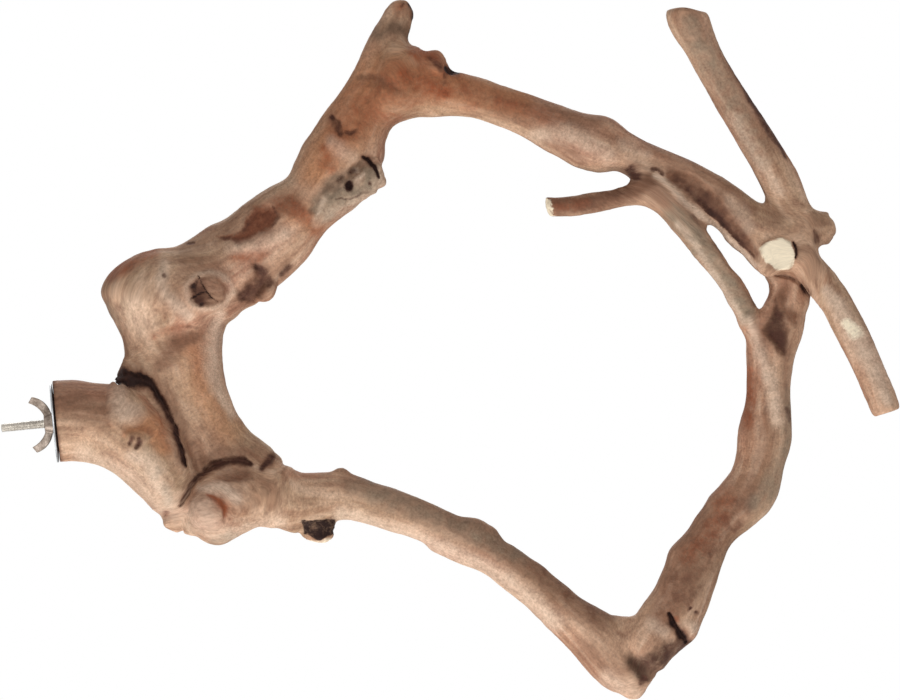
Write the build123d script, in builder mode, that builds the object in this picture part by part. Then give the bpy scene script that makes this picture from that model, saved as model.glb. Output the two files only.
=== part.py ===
"""Bird perch: a forked hardwood branch held by a hanger bolt, two washers and a wing nut.

Millimetres. The origin is on the bolt's axis at the cage side of the large washer's seat.
+X runs into the perch, +Z is up, and the front of the perch looks to -Y.
The branch is one grown piece of wood. It is drawn limb by limb, and each limb
is coped to the limb that it grows from.
"""

import os
from math import cos, radians, sin

from build123d import *

os.makedirs("parts", exist_ok=True)

# Hanger bolt: M6 machine thread outside, wood thread in the branch
STUD_RADIUS = 3.0
STUD_REACH = 36.5
STUD_CHAMFER = 0.8
BOLT_DEPTH = 40.0
BOLT_POINT_LENGTH = 7.0
BOLT_POINT_RADIUS = 0.6

# Large thin washer, dished so that its rim stands off the wood
FENDER_RADIUS = 26.5
FENDER_THICKNESS = 1.2
FENDER_SEAT_RADIUS = 12.0
FENDER_RISE = 1.4
FENDER_RIM_WIDTH = 2.0

# Small flat washer under the wing nut
CLAMP_WASHER_RADIUS = 9.0
CLAMP_WASHER_THICKNESS = 1.6
WASHER_CLEARANCE = 0.2

# Wing nut
NUT_CLEARANCE = 0.05
NUT_BASE_RADIUS = 6.6
NUT_TOP_RADIUS = 5.2
NUT_HUB_HEIGHT = 6.0
NUT_HEIGHT = 15.4
WING_SPAN = 37.5
WING_TIP_RUN = 2.8
WING_TIP_DROP = 4.0
WING_SHOULDER = 4.6
WING_ROOT_SINK = 0.6
WING_THICKNESS = 3.0

# Mean radius of each limb, seen from the front
MOUNT_RADIUS = 27.5
TRUNK_RADIUS = 30.0
UPPER_RADIUS = 16.0
LOWER_RADIUS = 16.0
RIGHT_RADIUS = 17.0
UPPER_SIDE_RADIUS = 12.0
LOWER_SIDE_RADIUS = 11.0
TWIG_RADIUS = 8.5
SHOOT_RADIUS = 6.8

# Depth of each limb as a share of its width
MOUNT_DEPTH = 0.95
TRUNK_DEPTH = 0.84
LIMB_DEPTH = 0.92

# Rounding of the sawn ends
LEADER_ROUND = 2.5
BRANCH_ROUND = 2.5

# Old stubs that stand out of the limbs: radius, foot and length
KNOT_RADIUS = 13.0
KNOT_COLLAR_WIDTH = 2.5
KNOT_FOOT = (108, -12, 76)
KNOT_LENGTH = 21.0
WEATHERED_RADIUS = 11.5
WEATHERED_FOOT = (186, -9, 129)
WEATHERED_LEAN = 22.0
WEATHERED_LENGTH = 49.0
BARK_STUB_RADIUS = 10.5
BARK_STUB_FOOT = (166, -3, -70)
BARK_STUB_LEAN = -88.0
BARK_STUB_LENGTH = 25.0
PRUNED_RADIUS = 11.0
PRUNED_FOOT = (490, 0, 66)
PRUNED_LENGTH = 22.0

# Round knots and swellings: radius and centre
LOBE_KNOT_RADIUS = 9.0
LOBE_KNOT_CENTRE = (54, -24, -18)
LOWER_BUMP_RADIUS = 12.0
LOWER_BUMP_CENTRE = (97, -22, -68)
LOWER_KNOB_RADIUS = 7.5
LOWER_KNOB_CENTRE = (186, -2, -55)
LOWER_SPUR_RADIUS = 8.0
LOWER_SPUR_CENTRE = (284, 1, -106)
CORNER_WEB_RADIUS = 15.0
CORNER_WEB_CENTRE = (364, 0, -179.5)
CORNER_BUMP_RADIUS = 11.0
CORNER_BUMP_CENTRE = (371.5, 0, -203)
SIDE_NUB_RADIUS = 11.0
SIDE_NUB_CENTRE = (213, -13, 167)
HOLLOW_LIP_RADIUS = 9.0
HOLLOW_LIP_CENTRE = (146, -11, 76)
TOP_NUB_RADIUS = 11.5
TOP_NUB_CENTRE = (274, -3, 211.5)

# Stations of each limb: x, y, z of the centre, lean from +X in degrees, swell
MOUNT_STATIONS = [
    (FENDER_THICKNESS, 0, 0.8, 0, 1.00),
    (18, 0, -0.5, -9, 0.97),
    (38, -2, -7, -28, 1.01),
    (58, -4, -23, -48, 1.04),
    (71, -5, -45, -56, 0.80),
    (84, -5, -62, -52, 0.60),
]
ELBOW_STATION = (80.5, 2, 71, 72, 1.43)
NECK_STATIONS = [
    (127, 8, -58, 128, 0.88),
    (113, 9, -38, 119, 0.88),
    (96, 9, -12, 112, 0.82),
    (82, 7, 20, 97, 1.12),
    (82.5, 5, 45, 90, 1.11),
    (80.5, 4, 59, 82, 1.21),
    ELBOW_STATION,
]
TRUNK_STATIONS = [
    ELBOW_STATION,
    (89, 1, 77.5, 60, 1.38),
    (99, 0, 82.5, 48, 1.23),
    (123, -1, 91, 37, 1.00),
    (153, -2, 109, 38, 0.92),
    (181, -2, 128.5, 42, 0.80),
    (202, -2, 152, 53, 0.85),
    (220, -1, 179.5, 55, 0.73),
    (237, 0, 207, 60, 0.62),
    (249, 1, 236.5, 66, 0.42),
    (255, 2, 250.5, 68, 0.28),
]
UPPER_STATIONS = [
    (232, 0, 196, -5, 1.25),
    (262, 1, 202, -12, 1.42),
    (286, 1, 192.5, -22, 0.95),
    (316, 0, 181.5, -27, 0.83),
    (342, -1, 168, -29, 0.94),
    (366, -2, 154.5, -27, 1.13),
    (381, -2, 148, -27, 1.10),
    (400, -2, 138.5, -31, 0.90),
    (421, -1, 126, -35, 0.95),
    (447, 0, 107.5, -40, 1.04),
    (468, 0, 90, -40, 1.04),
    (480, 0, 80.5, -31, 1.12),
    (492, 0, 76.5, -14, 1.20),
    (508, 1, 77, 5, 1.06),
    (521, 2, 80, 10, 0.75),
    (530, 2, 81, 10, 0.66),
]
LOWER_STATIONS = [
    (69, -5, -70.5, 12, 0.72),
    (86, -5, -67.5, 8, 1.15),
    (103, -6, -65, 2, 1.63),
    (127, -5, -61, -4, 1.36),
    (156, -3, -67, -8, 1.20),
    (188, -1, -67.5, -12, 1.00),
    (206, -0.5, -74, -23, 0.92),
    (224, 0, -82.5, -28, 0.88),
    (254, 1, -99.5, -30, 0.91),
    (286, 1, -120, -37, 0.86),
    (316, 0, -149, -44, 0.94),
    (341, 0, -176.5, -48, 1.20),
    (360, 0, -201.5, -58, 1.05),
    (366, 0, -211.5, -64, 0.64),
]
RIGHT_STATIONS = [
    (373, 1, -193, 50, 1.00),
    (387, 1, -177.5, 52, 1.13),
    (404, 2, -157, 58, 1.13),
    (417, 3, -132.5, 57, 1.08),
    (434.5, 4, -110, 49, 0.94),
    (454, 5, -92.5, 52, 1.09),
    (466.5, 6, -69, 66, 1.02),
    (472.5, 7, -43, 78, 1.00),
    (476, 8, -17, 82, 0.87),
    (482, 9, 9, 74, 1.04),
    (493, 10, 32, 68, 0.82),
    (499, 9, 52, 70, 0.92),
    (505, 7, 74, 74, 0.90),
]
UPPER_SIDE_STATIONS = [
    (505, -1, 84, 110, 1.20),
    (497, -2, 111, 112, 1.15),
    (489, -3, 132.5, 116, 1.08),
    (476.5, -4, 156.3, 117, 1.00),
    (464, -5, 181.5, 114, 0.95),
    (452, -6, 209.5, 112, 0.98),
    (446.5, -7, 224, 100, 1.17),
    (444.5, -7.5, 233, 82, 1.14),
]
LOWER_SIDE_STATIONS = [
    (505, -8, 70, -65, 1.14),
    (515.5, -10, 49, -67, 1.12),
    (524.5, -12, 30.6, -67, 1.02),
    (533.5, -15, 10, -69, 1.01),
    (541, -18, -11, -71, 0.97),
    (547.5, -21, -31.5, -73, 0.94),
    (551.5, -23, -46.5, -78, 0.90),
]
TWIG_STATIONS = [
    (472, 4, 12, 117, 1.12),
    (465.3, 1, 27.5, 117, 1.02),
    (457.8, -3, 47.5, 118, 0.96),
    (448.8, -6, 64, 121, 0.95),
    (437.8, -9, 80, 123, 0.97),
    (424.5, -12, 98.5, 127, 1.12),
    (411.5, -13, 113.5, 122, 1.24),
    (404, -13, 124, 115, 0.88),
    (402, -13, 129, 110, 0.62),
]
SHOOT_STATIONS = [
    (409, -13, 113, 178, 1.12),
    (396, -12, 114, 181, 1.08),
    (388.5, -12, 113.3, 184, 1.00),
    (375, -11, 112, 184, 1.00),
    (362, -10, 111, 181, 1.03),
    (349, -9, 111, 177, 1.00),
    (338.5, -9, 112, 175, 0.95),
]


def across(x, y, z, lean):
    """Plane square to a limb that leans by this angle from +X."""
    run = cos(radians(lean))
    rise = sin(radians(lean))
    return Plane(origin=(x, y, z), x_dir=(-rise, 0, run), z_dir=(run, 0, rise))


def towards_front(x, y, z):
    """Plane that faces the front of the perch."""
    return Plane(origin=(x, y, z), x_dir=(1, 0, 0), z_dir=(0, -1, 0))


def grow(stations, radius, depth):
    """Loft a limb through an ellipse at each station."""
    sections = []
    for x, y, z, lean, swell in stations:
        with BuildSketch(across(x, y, z, lean)) as section:
            Ellipse(radius * swell, radius * swell * depth)
        sections.append(section.sketch)
    loft(sections)


def wear_tip(stations, radius, depth):
    """Round off a worn end with a ball as deep as the limb is there."""
    x, y, z, lean, swell = stations[-1]
    with Locations((x, y, z)):
        Sphere(radius * swell * depth)


def ease_end(limb, stations, radius):
    """Ease the rim of a sawn end."""
    tip = Vector(*stations[-1][:3])
    fillet(limb.edges().sort_by_distance(tip)[0], radius)


# Hanger bolt
with BuildPart() as hanger_bolt:
    with BuildSketch(Plane.XZ):
        with BuildLine():
            Polyline(
                (-STUD_REACH, 0),
                (-STUD_REACH, STUD_RADIUS - STUD_CHAMFER),
                (-STUD_REACH + STUD_CHAMFER, STUD_RADIUS),
                (BOLT_DEPTH - BOLT_POINT_LENGTH, STUD_RADIUS),
                (BOLT_DEPTH, BOLT_POINT_RADIUS),
                (BOLT_DEPTH, 0),
                close=True,
            )
        make_face()
    revolve(axis=Axis.X)

# Lower limb: starts in a swollen collar and ends in the worn bottom corner
with BuildPart() as lower_limb:
    grow(LOWER_STATIONS, LOWER_RADIUS, LIMB_DEPTH)
    wear_tip(LOWER_STATIONS, LOWER_RADIUS, LIMB_DEPTH)
    with Locations(LOWER_BUMP_CENTRE):
        Sphere(LOWER_BUMP_RADIUS)
    with Locations(LOWER_KNOB_CENTRE):
        Sphere(LOWER_KNOB_RADIUS)
    with Locations(LOWER_SPUR_CENTRE):
        Sphere(LOWER_SPUR_RADIUS)
    with Locations(CORNER_WEB_CENTRE):
        Sphere(CORNER_WEB_RADIUS)
    with Locations(CORNER_BUMP_CENTRE):
        Sphere(CORNER_BUMP_RADIUS)
    with BuildSketch(across(*BARK_STUB_FOOT, BARK_STUB_LEAN)):
        Circle(BARK_STUB_RADIUS)
    extrude(amount=BARK_STUB_LENGTH)

# Mounting limb: the sawn stub that the bolt is screwed into, and the lobe below it
with BuildPart() as mount_limb:
    grow(MOUNT_STATIONS, MOUNT_RADIUS, MOUNT_DEPTH)
    with Locations(LOBE_KNOT_CENTRE):
        Sphere(LOBE_KNOT_RADIUS)
    add(hanger_bolt.part, mode=Mode.SUBTRACT)
    add(lower_limb.part, mode=Mode.SUBTRACT)

# Neck: the post that rises behind the lobe to the elbow
with BuildPart() as neck:
    grow(NECK_STATIONS, TRUNK_RADIUS, TRUNK_DEPTH)
    add(mount_limb.part, mode=Mode.SUBTRACT)
    add(lower_limb.part, mode=Mode.SUBTRACT)

# Trunk: from the elbow to the crown and the broken spike
with BuildPart() as trunk:
    grow(TRUNK_STATIONS, TRUNK_RADIUS, TRUNK_DEPTH)
    wear_tip(TRUNK_STATIONS, TRUNK_RADIUS, TRUNK_DEPTH)
    with BuildSketch(towards_front(*KNOT_FOOT)):
        Circle(KNOT_RADIUS + KNOT_COLLAR_WIDTH)
    with BuildSketch(towards_front(*KNOT_FOOT).offset(KNOT_LENGTH)):
        Circle(KNOT_RADIUS)
    loft()
    with BuildSketch(across(*WEATHERED_FOOT, WEATHERED_LEAN)):
        Circle(WEATHERED_RADIUS)
    extrude(amount=WEATHERED_LENGTH)
    with Locations(SIDE_NUB_CENTRE):
        Sphere(SIDE_NUB_RADIUS)
    with Locations(HOLLOW_LIP_CENTRE):
        Sphere(HOLLOW_LIP_RADIUS)
    add(neck.part, mode=Mode.SUBTRACT)

# Upper limb: from the crown down to the node, and past it to the cut leader
with BuildPart() as upper_limb:
    grow(UPPER_STATIONS, UPPER_RADIUS, LIMB_DEPTH)
    ease_end(upper_limb, UPPER_STATIONS, LEADER_ROUND)
    with Locations(TOP_NUB_CENTRE):
        Sphere(TOP_NUB_RADIUS)
    with BuildSketch(towards_front(*PRUNED_FOOT)):
        Circle(PRUNED_RADIUS)
    extrude(amount=PRUNED_LENGTH)
    add(trunk.part, mode=Mode.SUBTRACT)

# Right limb: from the bottom corner up to the node
with BuildPart() as right_limb:
    grow(RIGHT_STATIONS, RIGHT_RADIUS, LIMB_DEPTH)
    add(lower_limb.part, mode=Mode.SUBTRACT)
    add(upper_limb.part, mode=Mode.SUBTRACT)

# Upper side branch
with BuildPart() as upper_side_branch:
    grow(UPPER_SIDE_STATIONS, UPPER_SIDE_RADIUS, LIMB_DEPTH)
    ease_end(upper_side_branch, UPPER_SIDE_STATIONS, BRANCH_ROUND)
    add(upper_limb.part, mode=Mode.SUBTRACT)
    add(right_limb.part, mode=Mode.SUBTRACT)

# Lower side branch
with BuildPart() as lower_side_branch:
    grow(LOWER_SIDE_STATIONS, LOWER_SIDE_RADIUS, LIMB_DEPTH)
    ease_end(lower_side_branch, LOWER_SIDE_STATIONS, BRANCH_ROUND)
    add(upper_limb.part, mode=Mode.SUBTRACT)
    add(right_limb.part, mode=Mode.SUBTRACT)
    add(upper_side_branch.part, mode=Mode.SUBTRACT)

# Twig: from the right limb up across the front of the upper limb
with BuildPart() as twig:
    grow(TWIG_STATIONS, TWIG_RADIUS, LIMB_DEPTH)
    wear_tip(TWIG_STATIONS, TWIG_RADIUS, LIMB_DEPTH)
    add(right_limb.part, mode=Mode.SUBTRACT)
    add(upper_limb.part, mode=Mode.SUBTRACT)

# Shoot: the short cut end that points back from the twig
with BuildPart() as twig_shoot:
    grow(SHOOT_STATIONS, SHOOT_RADIUS, LIMB_DEPTH)
    add(twig.part, mode=Mode.SUBTRACT)
    add(upper_limb.part, mode=Mode.SUBTRACT)

# Large washer
with BuildPart() as fender_washer:
    with BuildSketch(Plane.XZ):
        with BuildLine():
            Polyline(
                (0, STUD_RADIUS + WASHER_CLEARANCE),
                (0, FENDER_SEAT_RADIUS),
                (-FENDER_RISE, FENDER_RADIUS - FENDER_RIM_WIDTH),
                (-FENDER_RISE, FENDER_RADIUS),
                (FENDER_THICKNESS - FENDER_RISE, FENDER_RADIUS),
                (FENDER_THICKNESS - FENDER_RISE, FENDER_RADIUS - FENDER_RIM_WIDTH),
                (FENDER_THICKNESS, FENDER_SEAT_RADIUS),
                (FENDER_THICKNESS, STUD_RADIUS + WASHER_CLEARANCE),
                close=True,
            )
        make_face()
    revolve(axis=Axis.X)

# Small washer
with BuildPart() as clamp_washer:
    with BuildSketch(Plane.YZ):
        Circle(CLAMP_WASHER_RADIUS)
        Circle(STUD_RADIUS + WASHER_CLEARANCE, mode=Mode.SUBTRACT)
    extrude(amount=-CLAMP_WASHER_THICKNESS)

# Wing nut: a cone hub with two bent wings, both in the plane that faces the front
NUT_FOOT = -CLAMP_WASHER_THICKNESS
NUT_HUB_TOP = NUT_FOOT - NUT_HUB_HEIGHT
NUT_TIP = NUT_FOOT - NUT_HEIGHT
WING_REACH = WING_SPAN / 2
with BuildPart() as wing_nut:
    with BuildSketch(Plane.XZ):
        with BuildLine():
            Polyline(
                (NUT_FOOT, 0),
                (NUT_FOOT, NUT_BASE_RADIUS),
                (NUT_HUB_TOP, NUT_TOP_RADIUS),
                (NUT_HUB_TOP, 0),
                close=True,
            )
        make_face()
    revolve(axis=Axis.X)
    with BuildSketch(Plane.XZ):
        with BuildLine():
            outer = Spline(
                (NUT_FOOT - WING_ROOT_SINK, NUT_BASE_RADIUS - WING_ROOT_SINK),
                (NUT_FOOT - WING_SHOULDER, WING_REACH - WING_SHOULDER),
                (NUT_TIP + WING_TIP_RUN, WING_REACH),
            )
            tip = Line(outer @ 1, (NUT_TIP, WING_REACH - WING_TIP_DROP))
            inner = Spline(
                tip @ 1,
                (NUT_HUB_TOP - WING_SHOULDER / 2, NUT_TOP_RADIUS + WING_SHOULDER),
                (NUT_HUB_TOP + WING_ROOT_SINK, NUT_TOP_RADIUS - WING_ROOT_SINK),
            )
            Line(inner @ 1, outer @ 0)
        make_face()
        mirror(about=Plane.XZ)
    extrude(amount=WING_THICKNESS / 2, both=True)
    with BuildSketch(Plane.YZ.offset(NUT_FOOT)):
        Circle(STUD_RADIUS + NUT_CLEARANCE)
    extrude(amount=-NUT_HEIGHT, mode=Mode.SUBTRACT)

hanger_bolt.part.label = "hanger_bolt"
mount_limb.part.label = "mount_limb"
lower_limb.part.label = "lower_limb"
neck.part.label = "neck"
trunk.part.label = "trunk"
upper_limb.part.label = "upper_limb"
right_limb.part.label = "right_limb"
upper_side_branch.part.label = "upper_side_branch"
lower_side_branch.part.label = "lower_side_branch"
twig.part.label = "twig"
twig_shoot.part.label = "twig_shoot"
fender_washer.part.label = "fender_washer"
clamp_washer.part.label = "clamp_washer"
wing_nut.part.label = "wing_nut"

export_step(hanger_bolt.part, "parts/hanger_bolt.step")
export_step(mount_limb.part, "parts/mount_limb.step")
export_step(lower_limb.part, "parts/lower_limb.step")
export_step(neck.part, "parts/neck.step")
export_step(trunk.part, "parts/trunk.step")
export_step(upper_limb.part, "parts/upper_limb.step")
export_step(right_limb.part, "parts/right_limb.step")
export_step(upper_side_branch.part, "parts/upper_side_branch.step")
export_step(lower_side_branch.part, "parts/lower_side_branch.step")
export_step(twig.part, "parts/twig.step")
export_step(twig_shoot.part, "parts/twig_shoot.step")
export_step(fender_washer.part, "parts/fender_washer.step")
export_step(clamp_washer.part, "parts/clamp_washer.step")
export_step(wing_nut.part, "parts/wing_nut.step")
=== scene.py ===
"""Bird perch: a forked hardwood branch on a hanger bolt, with two washers and a wing nut.

The frame is in metres. The branch is sculpted in millimetres and scaled at the end.
"""

import math

import bpy
import numpy as np
from mathutils import Matrix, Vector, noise


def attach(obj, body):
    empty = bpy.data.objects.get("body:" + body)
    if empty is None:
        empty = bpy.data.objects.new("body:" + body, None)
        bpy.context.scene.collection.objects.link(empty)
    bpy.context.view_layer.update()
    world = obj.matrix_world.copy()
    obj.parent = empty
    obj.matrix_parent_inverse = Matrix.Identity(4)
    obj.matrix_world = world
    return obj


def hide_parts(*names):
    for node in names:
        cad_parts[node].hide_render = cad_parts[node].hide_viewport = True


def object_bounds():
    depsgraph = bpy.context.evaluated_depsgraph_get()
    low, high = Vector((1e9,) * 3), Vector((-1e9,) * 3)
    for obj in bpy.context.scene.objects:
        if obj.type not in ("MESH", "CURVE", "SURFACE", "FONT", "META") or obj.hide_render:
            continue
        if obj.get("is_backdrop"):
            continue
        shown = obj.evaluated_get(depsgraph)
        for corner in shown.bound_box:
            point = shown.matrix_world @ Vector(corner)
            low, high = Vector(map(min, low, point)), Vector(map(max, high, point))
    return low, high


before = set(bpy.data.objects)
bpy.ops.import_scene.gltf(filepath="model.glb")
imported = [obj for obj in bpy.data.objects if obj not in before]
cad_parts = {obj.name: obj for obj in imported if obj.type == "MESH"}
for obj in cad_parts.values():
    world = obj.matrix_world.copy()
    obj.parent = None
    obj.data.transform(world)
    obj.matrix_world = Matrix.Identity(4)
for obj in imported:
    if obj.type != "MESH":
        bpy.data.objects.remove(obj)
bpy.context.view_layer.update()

# The branch
# One grown piece of hardwood, stripped of its bark and sandblasted. Its limbs run into each other
# at the forks, so one skin goes over all ten of them and replaces their solids.
MM = 0.001
SKIN_GRID = 2.0
SKIN_FACES = 190000

# Each limb's middle line in the front view, as x, z and radius, and the limb that it grows from
LIMBS = {
    "neck": (None, [(127, -58, 26), (113, -38, 26), (96, -12, 25), (82, 20, 33), (82, 45, 33),
                    (80, 71, 43)]),
    "mount_limb": ("neck", [(72, -46, 22), (58, -23, 28), (38, -7, 28), (18, -1, 27), (1, 1, 27)]),
    "lower_limb": (
        "neck",
        [(69, -70, 12), (86, -68, 18), (103, -65, 26), (127, -61, 22), (156, -67, 19), (188, -68, 16),
         (224, -83, 14), (254, -99, 15), (286, -120, 14), (316, -149, 15), (341, -176, 19), (366, -211, 10)],
    ),
    "trunk": (
        "neck",
        [(80, 71, 43), (99, 83, 37), (123, 91, 30), (153, 109, 28), (181, 128, 24), (202, 152, 25),
         (220, 179, 22), (237, 207, 19), (249, 236, 13), (255, 250, 8)],
    ),
    "upper_limb": (
        "trunk",
        [(232, 196, 20), (262, 202, 22), (286, 192, 15), (316, 181, 13), (342, 168, 15), (366, 154, 18),
         (400, 138, 14),
         (421, 126, 15), (447, 107, 17), (468, 90, 17), (492, 76, 19), (508, 77, 17), (530, 81, 11)],
    ),
    "right_limb": (
        "lower_limb",
        [(373, -193, 17), (387, -177, 19), (404, -157, 19), (417, -132, 18), (434, -110, 16),
         (454, -92, 18),
         (466, -69, 17), (472, -43, 17), (476, -17, 15), (482, 9, 18), (493, 32, 14), (505, 74, 15)],
    ),
    "upper_side_branch": ("upper_limb", [(505, 84, 14), (489, 132, 13), (464, 181, 11), (446, 224, 14),
                                         (444, 233, 14)]),
    "lower_side_branch": ("upper_limb", [(505, 70, 12), (524, 31, 11), (541, -11, 11), (551, -46, 10)]),
    "twig": ("right_limb", [(472, 12, 9), (458, 47, 8), (438, 80, 8), (411, 113, 10), (402, 129, 5)]),
    "twig_shoot": ("twig", [(409, 113, 7), (388, 113, 7), (362, 111, 7), (338, 112, 6)]),
}


def settle(piece):
    """Turn what the piece's modifiers make into its plain mesh."""
    done = bpy.data.meshes.new_from_object(piece.evaluated_get(bpy.context.evaluated_depsgraph_get()))
    piece.modifiers.clear()
    piece.data = done


def skinned(name, nodes, grid):
    """A new piece: one closed skin over copies of these solids, on a grid of this size in millimetres."""
    corners, faces, start = [], [], 0
    for part in nodes:
        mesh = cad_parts[part].data
        place = np.empty(len(mesh.vertices) * 3, np.float32)
        mesh.vertices.foreach_get("co", place)
        corners.append(place.reshape(-1, 3))
        mesh.calc_loop_triangles()
        triangles = np.empty(len(mesh.loop_triangles) * 3, np.int32)
        mesh.loop_triangles.foreach_get("vertices", triangles)
        faces.append(triangles.reshape(-1, 3) + start)
        start += len(mesh.vertices)
    joined = bpy.data.meshes.new(name)
    joined.from_pydata(np.concatenate(corners).tolist(), [], np.concatenate(faces).tolist())
    piece = bpy.data.objects.new(name, joined)
    bpy.context.scene.collection.objects.link(piece)
    piece.modifiers.new("weld", "WELD").merge_threshold = 0.01 * MM
    remesh = piece.modifiers.new("remesh", "REMESH")
    remesh.mode = "VOXEL"
    remesh.voxel_size = grid * MM
    settle(piece)
    return piece


def ramp(value, low, high):
    """Smooth step from 0 at low to 1 at high."""
    share = np.clip((value - low) / (high - low), 0, 1)
    return share * share * (3 - 2 * share)


def numbers(items, key, width, kind=float):
    """One property of many mesh items as rows of an array."""
    flat = np.empty(len(items) * width, kind)
    items.foreach_get(key, flat)
    return flat.reshape(-1, width)


def relax(field, edges, rounds):
    """Draw each point's value towards the mean of its neighbours."""
    valence = np.bincount(edges.ravel(), minlength=len(field))
    for _ in range(rounds):
        for column in field.T:
            total = np.bincount(edges[:, 0], column[edges[:, 1]], len(column))
            total += np.bincount(edges[:, 1], column[edges[:, 0]], len(column))
            column += 0.5 * (total / valence - column)
    return field


def facing(place, quads):
    """Outward direction at each point of a skin."""
    turned = np.cross(place[quads[:, 2]] - place[quads[:, 0]], place[quads[:, 3]] - place[quads[:, 1]])
    total = np.zeros_like(place)
    for k in range(4):
        for axis in range(3):
            total[:, axis] += np.bincount(quads[:, k], turned[:, axis], len(place))
    return total / np.linalg.norm(total, axis=1, keepdims=True)


LINE_STEP = 4


def dense(points):
    """A smooth curve through a path's points, about every LINE_STEP millimetres."""
    points = np.array(points, float)
    ends = np.vstack((2 * points[0] - points[1], points, 2 * points[-1] - points[-2]))
    line = []
    for a, b, c, d in zip(ends, ends[1:], ends[2:], ends[3:]):
        for t in np.arange(0, 1, LINE_STEP / max(np.hypot(*(c - b)[:2]), LINE_STEP)):
            curve = (c - a) * t + (2 * a - 5 * b + 4 * c - d) * t**2 + (3 * b - a - 3 * c + d) * t**3
            line.append(b + 0.5 * curve)
    return np.array(line + [points[-1]])


branch = skinned("branch_skin", LIMBS, SKIN_GRID)
skin = numbers(branch.data.vertices, "co", 3) / MM
quads = numbers(branch.data.polygons, "vertices", 4, np.int32)
edges = numbers(branch.data.edges, "vertices", 2, np.int32)

# Grain: how far along its limb each point lies, and how far off the middle line. It runs on through the
# forks, where each limb has a share in it by how near it is.
FORK_SHARE, FORK_NEAR, FORK_FAR = 3.0, 3, 14
GRAIN_ROUNDS = 16
lines, starts = {}, {}
gaps, alongs, asides, radii = [], [], [], []
for limb, (parent, points) in LIMBS.items():
    line = dense(points)
    run = np.concatenate(([0], np.cumsum(np.hypot(*np.diff(line[:, :2], axis=0).T))))
    if parent:
        apart = np.linalg.norm(lines[parent][:, None, :2] - line[None, :, :2], axis=2)
        root, join = np.unravel_index(apart.argmin(), apart.shape)
        run += starts[parent][root] - run[join]
    lines[limb], starts[limb] = line, run
    heading = np.gradient(line[:, :2], axis=0)
    heading /= np.linalg.norm(heading, axis=1, keepdims=True)
    gap, nearest = np.full(len(skin), np.inf), np.zeros(len(skin), int)
    for k, (x, z, thick) in enumerate(line):
        away = np.sqrt((skin[:, 0] - x) ** 2 + (skin[:, 2] - z) ** 2 + skin[:, 1] ** 2) - thick
        closer = away < gap
        gap[closer], nearest[closer] = away[closer], k
    off = skin[:, [0, 2]] - line[nearest, :2]
    ahead = (off * heading[nearest]).sum(axis=1)
    gaps.append(gap)
    alongs.append(run[nearest] + np.clip(ahead, -LINE_STEP, LINE_STEP))
    asides.append(off[:, 1] * heading[nearest, 0] - off[:, 0] * heading[nearest, 1])
    radii.append(line[nearest, 2])
order = np.sort(gaps, axis=0)
share = np.exp((order[0] - gaps) / FORK_SHARE)
share /= share.sum(axis=0)
grain = np.column_stack(((share * alongs).sum(axis=0), skin[:, 1], (share * asides).sum(axis=0)))
grain = relax(grain, edges, GRAIN_ROUNDS)
radius = (share * radii).sum(axis=0)
fork = 1 - ramp(order[1] - order[0], FORK_NEAR, FORK_FAR)

# Forks: the wood flows from limb to limb, so creases fill, while the sawn ends stay crisp. What the easing
# takes off the limbs is put back.
WEAR_ROUNDS, FORK_ROUNDS, PUT_BACK_ROUNDS = 3, 18, 30
SAWN_CRISP = 0.7
SAWN_ENDS = (
    (1.2, 0, 1, 30), (530, 2, 81, 13), (490, -22, 66, 14),
    (444, -7, 234, 16), (552, -23, -48, 12), (338, -9, 112, 9),
)
sawn = np.zeros(len(skin))
for x, y, z, reach in SAWN_ENDS:
    sawn = np.maximum(sawn, 1 - ramp(np.linalg.norm(skin - (x, y, z), axis=1), reach * SAWN_CRISP, reach))
worn = 1 - sawn[:, None]
before = skin.copy()
skin += (relax(skin.copy(), edges, WEAR_ROUNDS) - skin) * worn
skin += (relax(skin.copy(), edges, FORK_ROUNDS) - skin) * worn * fork[:, None]
skin -= relax(skin - before, edges, PUT_BACK_ROUNDS) * worn

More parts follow.
